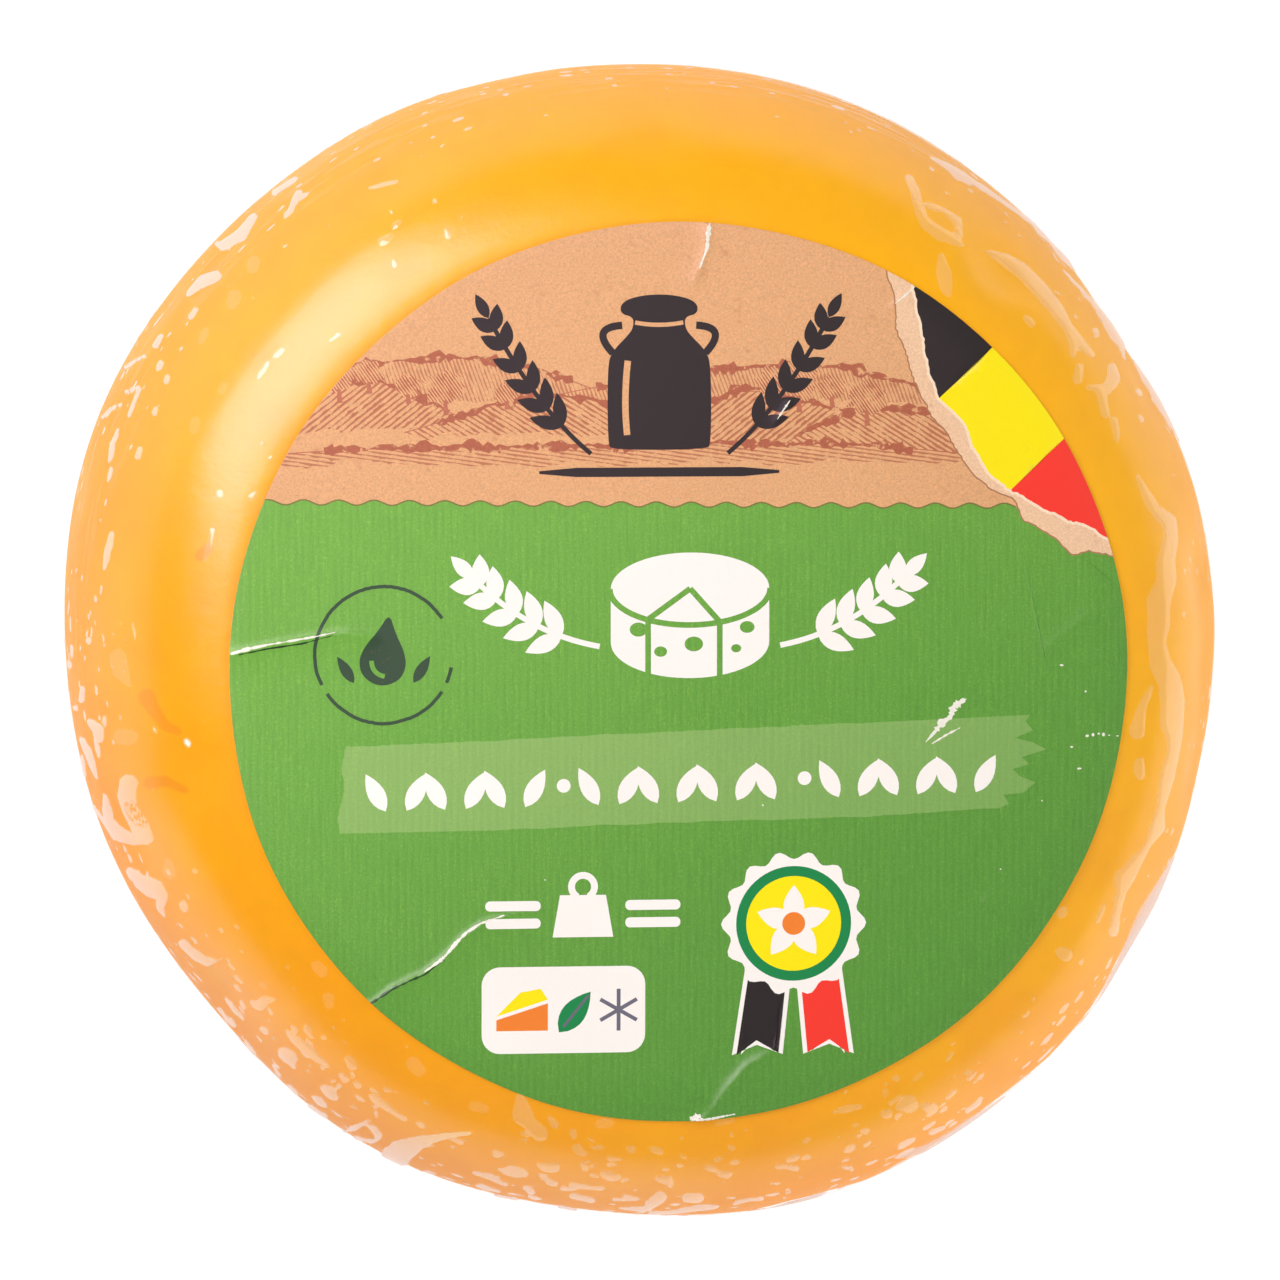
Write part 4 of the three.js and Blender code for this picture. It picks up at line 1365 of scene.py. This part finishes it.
def label():
    """The printed sheet with its folds, closed by a rim and an underside that follows the wheel."""
    flat, triangles, inks = printed_sheet()
    edge = sheet_edge(triangles)
    rings = np.concatenate([flat[edge] * share for share in UNDERSIDE_RINGS] + [[(0.0, 0.0)]])
    count = len(edge)
    first = len(flat)
    under = np.column_stack([rings, label_level(rings) - PAPER_THICKNESS - fold_height(rings)])
    sides = enumerate(zip(edge.tolist(), np.roll(edge, -1).tolist()))
    rim = [(b, a, first + i, first + (i + 1) % count) for i, (a, b) in sides]
    back = []
    for row in range(len(UNDERSIDE_RINGS) - 1):
        for i in range(count):
            a, b = first + row * count + i, first + row * count + (i + 1) % count
            back.append((b, a, a + count, b + count))
    inner = first + (len(UNDERSIDE_RINGS) - 1) * count
    back += [(inner + (i + 1) % count, inner + i, len(flat) + len(rings) - 1) for i in range(count)]
    points = np.concatenate([np.column_stack([flat, label_level(flat)]), under])
    points[:, :2] += LABEL_CENTRE
    printed = [INKS[name] for name in inks + ["paper core"] * (len(rim) + len(back))]
    facts = {
        "ink": np.array([ink.colour for ink in printed]),
        "texture": np.array([ink.texture for ink in printed]),
        "engraving": np.array([ink.lines for ink in printed]),
    }
    piece = make_mesh("label_paper", points, triangles + rim + back, {}, label_finish(), facts)
    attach(piece, "root")
    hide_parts("label")


# The film's trimmed seal

SEAM_LEVEL = 31.0
SEAM_THICKNESS = 0.09
SEAM_ROOT = 0.35  # how far the fin starts inside the film
# How far the fin stands out, as degrees round the wheel and millimetres
SEAM_REACH = [
    (-118, 0.0), (-112, 0.25), (-100, 0.2), (-88, 0.35), (-76, 0.3), (-67, 0.55), (-60, 0.75),
    (-53, 0.35), (-47, 0.4), (-42, 0.6), (-38, 0.8), (-34, 0.95), (-31, 0.9), (-28, 0.9), (-25, 0.7),
    (-22, 0.35), (-16, 0.25), (-5, 0.2), (10, 0.3), (22, 0.25), (34, 0.35), (47, 0.3), (60, 0.4),
    (72, 0.25), (82, 0.0),
]
SEAM_LEAST = 0.02
SEAM_STEP = 0.35  # degrees
SEAM_ACROSS = 7
# Waves of the fin's reach and of its curl: height, waves to a radian, and start
SEAM_WAVES = ((0.1, 41, 0), (0.06, 97, 1))
SEAM_CURLS = ((0.35, 37, 0), (0.25, 83, 2))
SEAM_CURL_LIMIT = 0.8
SEAM_DUSKY = srgb(238, 208, 192)
SEAM_PALE = srgb(248, 228, 218)


def seam_finish():
    finish = Finish(bpy.data.materials.new("sealed_film"))
    here = finish.place()
    fold = finish.noise(finish.scaled(here, (1, 1, 0.4)), 1.2, 3)
    gaze = finish.node("ShaderNodeFresnel", None, {"IOR": 1.45})
    milky = finish.attribute("root").rising(0.0, 0.5) * 0.25
    alpha = 0.24 + milky + gaze * 0.3 + (fold - 0.5) * 0.25
    colour = finish.blend(fold.rising(0.3, 0.7), SEAM_DUSKY, SEAM_PALE)
    relief, roughness = finish.bump(fold, 0.05), 0.16 + fold * 0.1
    shader = finish.principled(Base_Color=colour, Roughness=roughness, Alpha=alpha, Normal=relief, IOR=1.5)
    return finish.done(shader)


def waves(angle, rows):
    """The sum of waves that are each a height, waves to a radian, and a start."""
    return sum(height * np.sin(angle * count + start) for height, count, start in rows)


def film_fin():
    """A thin wavy fin round the waist, as a closed strip."""
    degrees = np.arange(SEAM_REACH[0][0], SEAM_REACH[-1][0] + SEAM_STEP / 2, SEAM_STEP)
    reach = np.interp(degrees, *np.array(SEAM_REACH).T) + SEAM_LEAST
    angle = np.radians(degrees)
    reach *= 1 + waves(angle, SEAM_WAVES)
    share = np.linspace(0, 1, SEAM_ACROSS)
    upper, lower = (np.stack([share, half], 1) for half in (1 - share**3, share**3 - 1))
    section = np.concatenate([upper, lower[-2:0:-1]])
    count = len(section)
    rows = []
    for turn, out in zip(angle, reach):
        away = section[:, 0] * (out + SEAM_ROOT) - SEAM_ROOT
        curl = waves(turn, SEAM_CURLS) * section[:, 0] * min(out, SEAM_CURL_LIMIT)
        level = SEAM_LEVEL + section[:, 1] * SEAM_THICKNESS / 2 + curl
        heading = np.array([math.cos(turn), math.sin(turn), 0])
        even = WHEEL_RADIUS * np.tile(heading, (count, 1))
        even[:, 2] = level
        rows.append(make_uneven(even) + np.outer(away, heading))
    faces = []
    for row in range(len(rows) - 1):
        for i in range(count):
            a, b = row * count + i, row * count + (i + 1) % count
            faces.append((a, a + count, b + count, b))
    last = (len(rows) - 1) * count
    faces.append(tuple(range(count)))
    faces.append(tuple(reversed(range(last, last + count))))
    roots = {"root": np.tile(1 - section[:, 0], len(rows))}
    piece = make_mesh("film_fin", np.concatenate(rows), faces, roots, seam_finish())
    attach(piece, "root")
    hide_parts("film_seam")


# Lights, floor and camera

DIM_WALL = 0.4
BRIGHT_WALL = 1.18
CEILING_DIMMED = 0.85
AIM = (-0.02, 0.02, 0.05)
KEY_WHITE = (1.0, 0.96, 0.94)
SHEEN_PINK = (1.0, 0.71, 0.98)
FLOOR_GREYS = (0.24, 0.24, 0.24), (0.28, 0.28, 0.28)
FLOOR_REACH = 4.0
NEAREST_SEEN = 0.01


def world_light():
    """A pale room, dimmer overhead where the camera looks from and on the side of the main lamp."""
    room = Finish(bpy.data.worlds.new("pale_room"))
    where = room.node("ShaderNodeTexCoord", output="Generated")
    towards = room.part(where, 0) - room.part(where, 1) * 0.6
    wall = DIM_WALL + towards.rising(-0.5, 0.9) * (BRIGHT_WALL - DIM_WALL)
    open_ceiling = 1 - room.part(where, 2).rising(0.6, 0.95) * CEILING_DIMMED
    glow = room.node("ShaderNodeBackground", None, {"Color": (1, 1, 1), "Strength": wall * open_ceiling})
    room.node("ShaderNodeOutputWorld", None, [glow])
    room.owner.cycles.sampling_method = "NONE"
    room.owner.cycles_visibility.glossy = False
    bpy.context.scene.world = room.owner


def softbox(name, place, aim, width, height, power, colour=(1, 1, 1)):
    light = bpy.data.lights.new(name, "AREA")
    light.color = colour
    light.shape = "RECTANGLE"
    light.size = width
    light.size_y = height
    light.energy = power
    lamp = bpy.data.objects.new(name, light)
    lamp.location = place
    lamp.rotation_euler = (Vector(aim) - Vector(place)).to_track_quat("-Z", "Y").to_euler()
    bpy.context.collection.objects.link(lamp)
    return lamp


def lights():
    """A lamp at the left that only lights, one beside it only for gloss, and a fill at the right."""
    world_light()
    key = softbox("softbox_left", (-0.36, 0.23, 0.45), AIM, 0.5, 0.25, power=2.8, colour=KEY_WHITE)
    sheen = softbox("sheen_left", (-0.339, 0.278, 0.446), AIM, 0.38, 0.62, power=6.5, colour=SHEEN_PINK)
    fill = softbox("softbox_right", (0.8, -0.5, 0.6), (0, 0, 0.05), 0.9, 0.6, power=3.2)
    key.visible_glossy = fill.visible_glossy = False
    sheen.visible_diffuse = False


def floor():
    finish = Finish(bpy.data.materials.new("pale_floor"))
    here = finish.place()
    colour = finish.blend(finish.noise(here, 1.5, 0), *FLOOR_GREYS)
    shader = finish.principled(
        Base_Color=colour, Roughness=0.8, Emission_Color=(1, 1, 1), Emission_Strength=0.88
    )
    mesh = bpy.data.meshes.new("floor")
    square = ((-1, -1), (1, -1), (1, 1), (-1, 1))
    corners = [(across * FLOOR_REACH, up * FLOOR_REACH, 0) for across, up in square]
    mesh.from_pydata(corners, [], [(0, 1, 2, 3)])
    mesh.materials.append(finish.done(shader))
    piece = bpy.data.objects.new("floor", mesh)
    bpy.context.collection.objects.link(piece)


def camera():
    place, forward, right, up = camera_axes()
    lens = bpy.data.cameras.new("camera")
    lens.sensor_width = SENSOR_WIDTH
    lens.lens = FOCAL_PIXELS / PHOTO_SIZE * SENSOR_WIDTH
    lens.clip_start = NEAREST_SEEN
    eye = bpy.data.objects.new("camera", lens)
    eye.location = place
    eye.rotation_euler = Matrix((right, up, -forward)).transposed().to_euler()
    bpy.context.collection.objects.link(eye)
    bpy.context.scene.camera = eye


camera()
lights()
floor()
rind()
film()
label()
film_fin()
bpy.context.scene.view_settings.view_transform = "Standard"
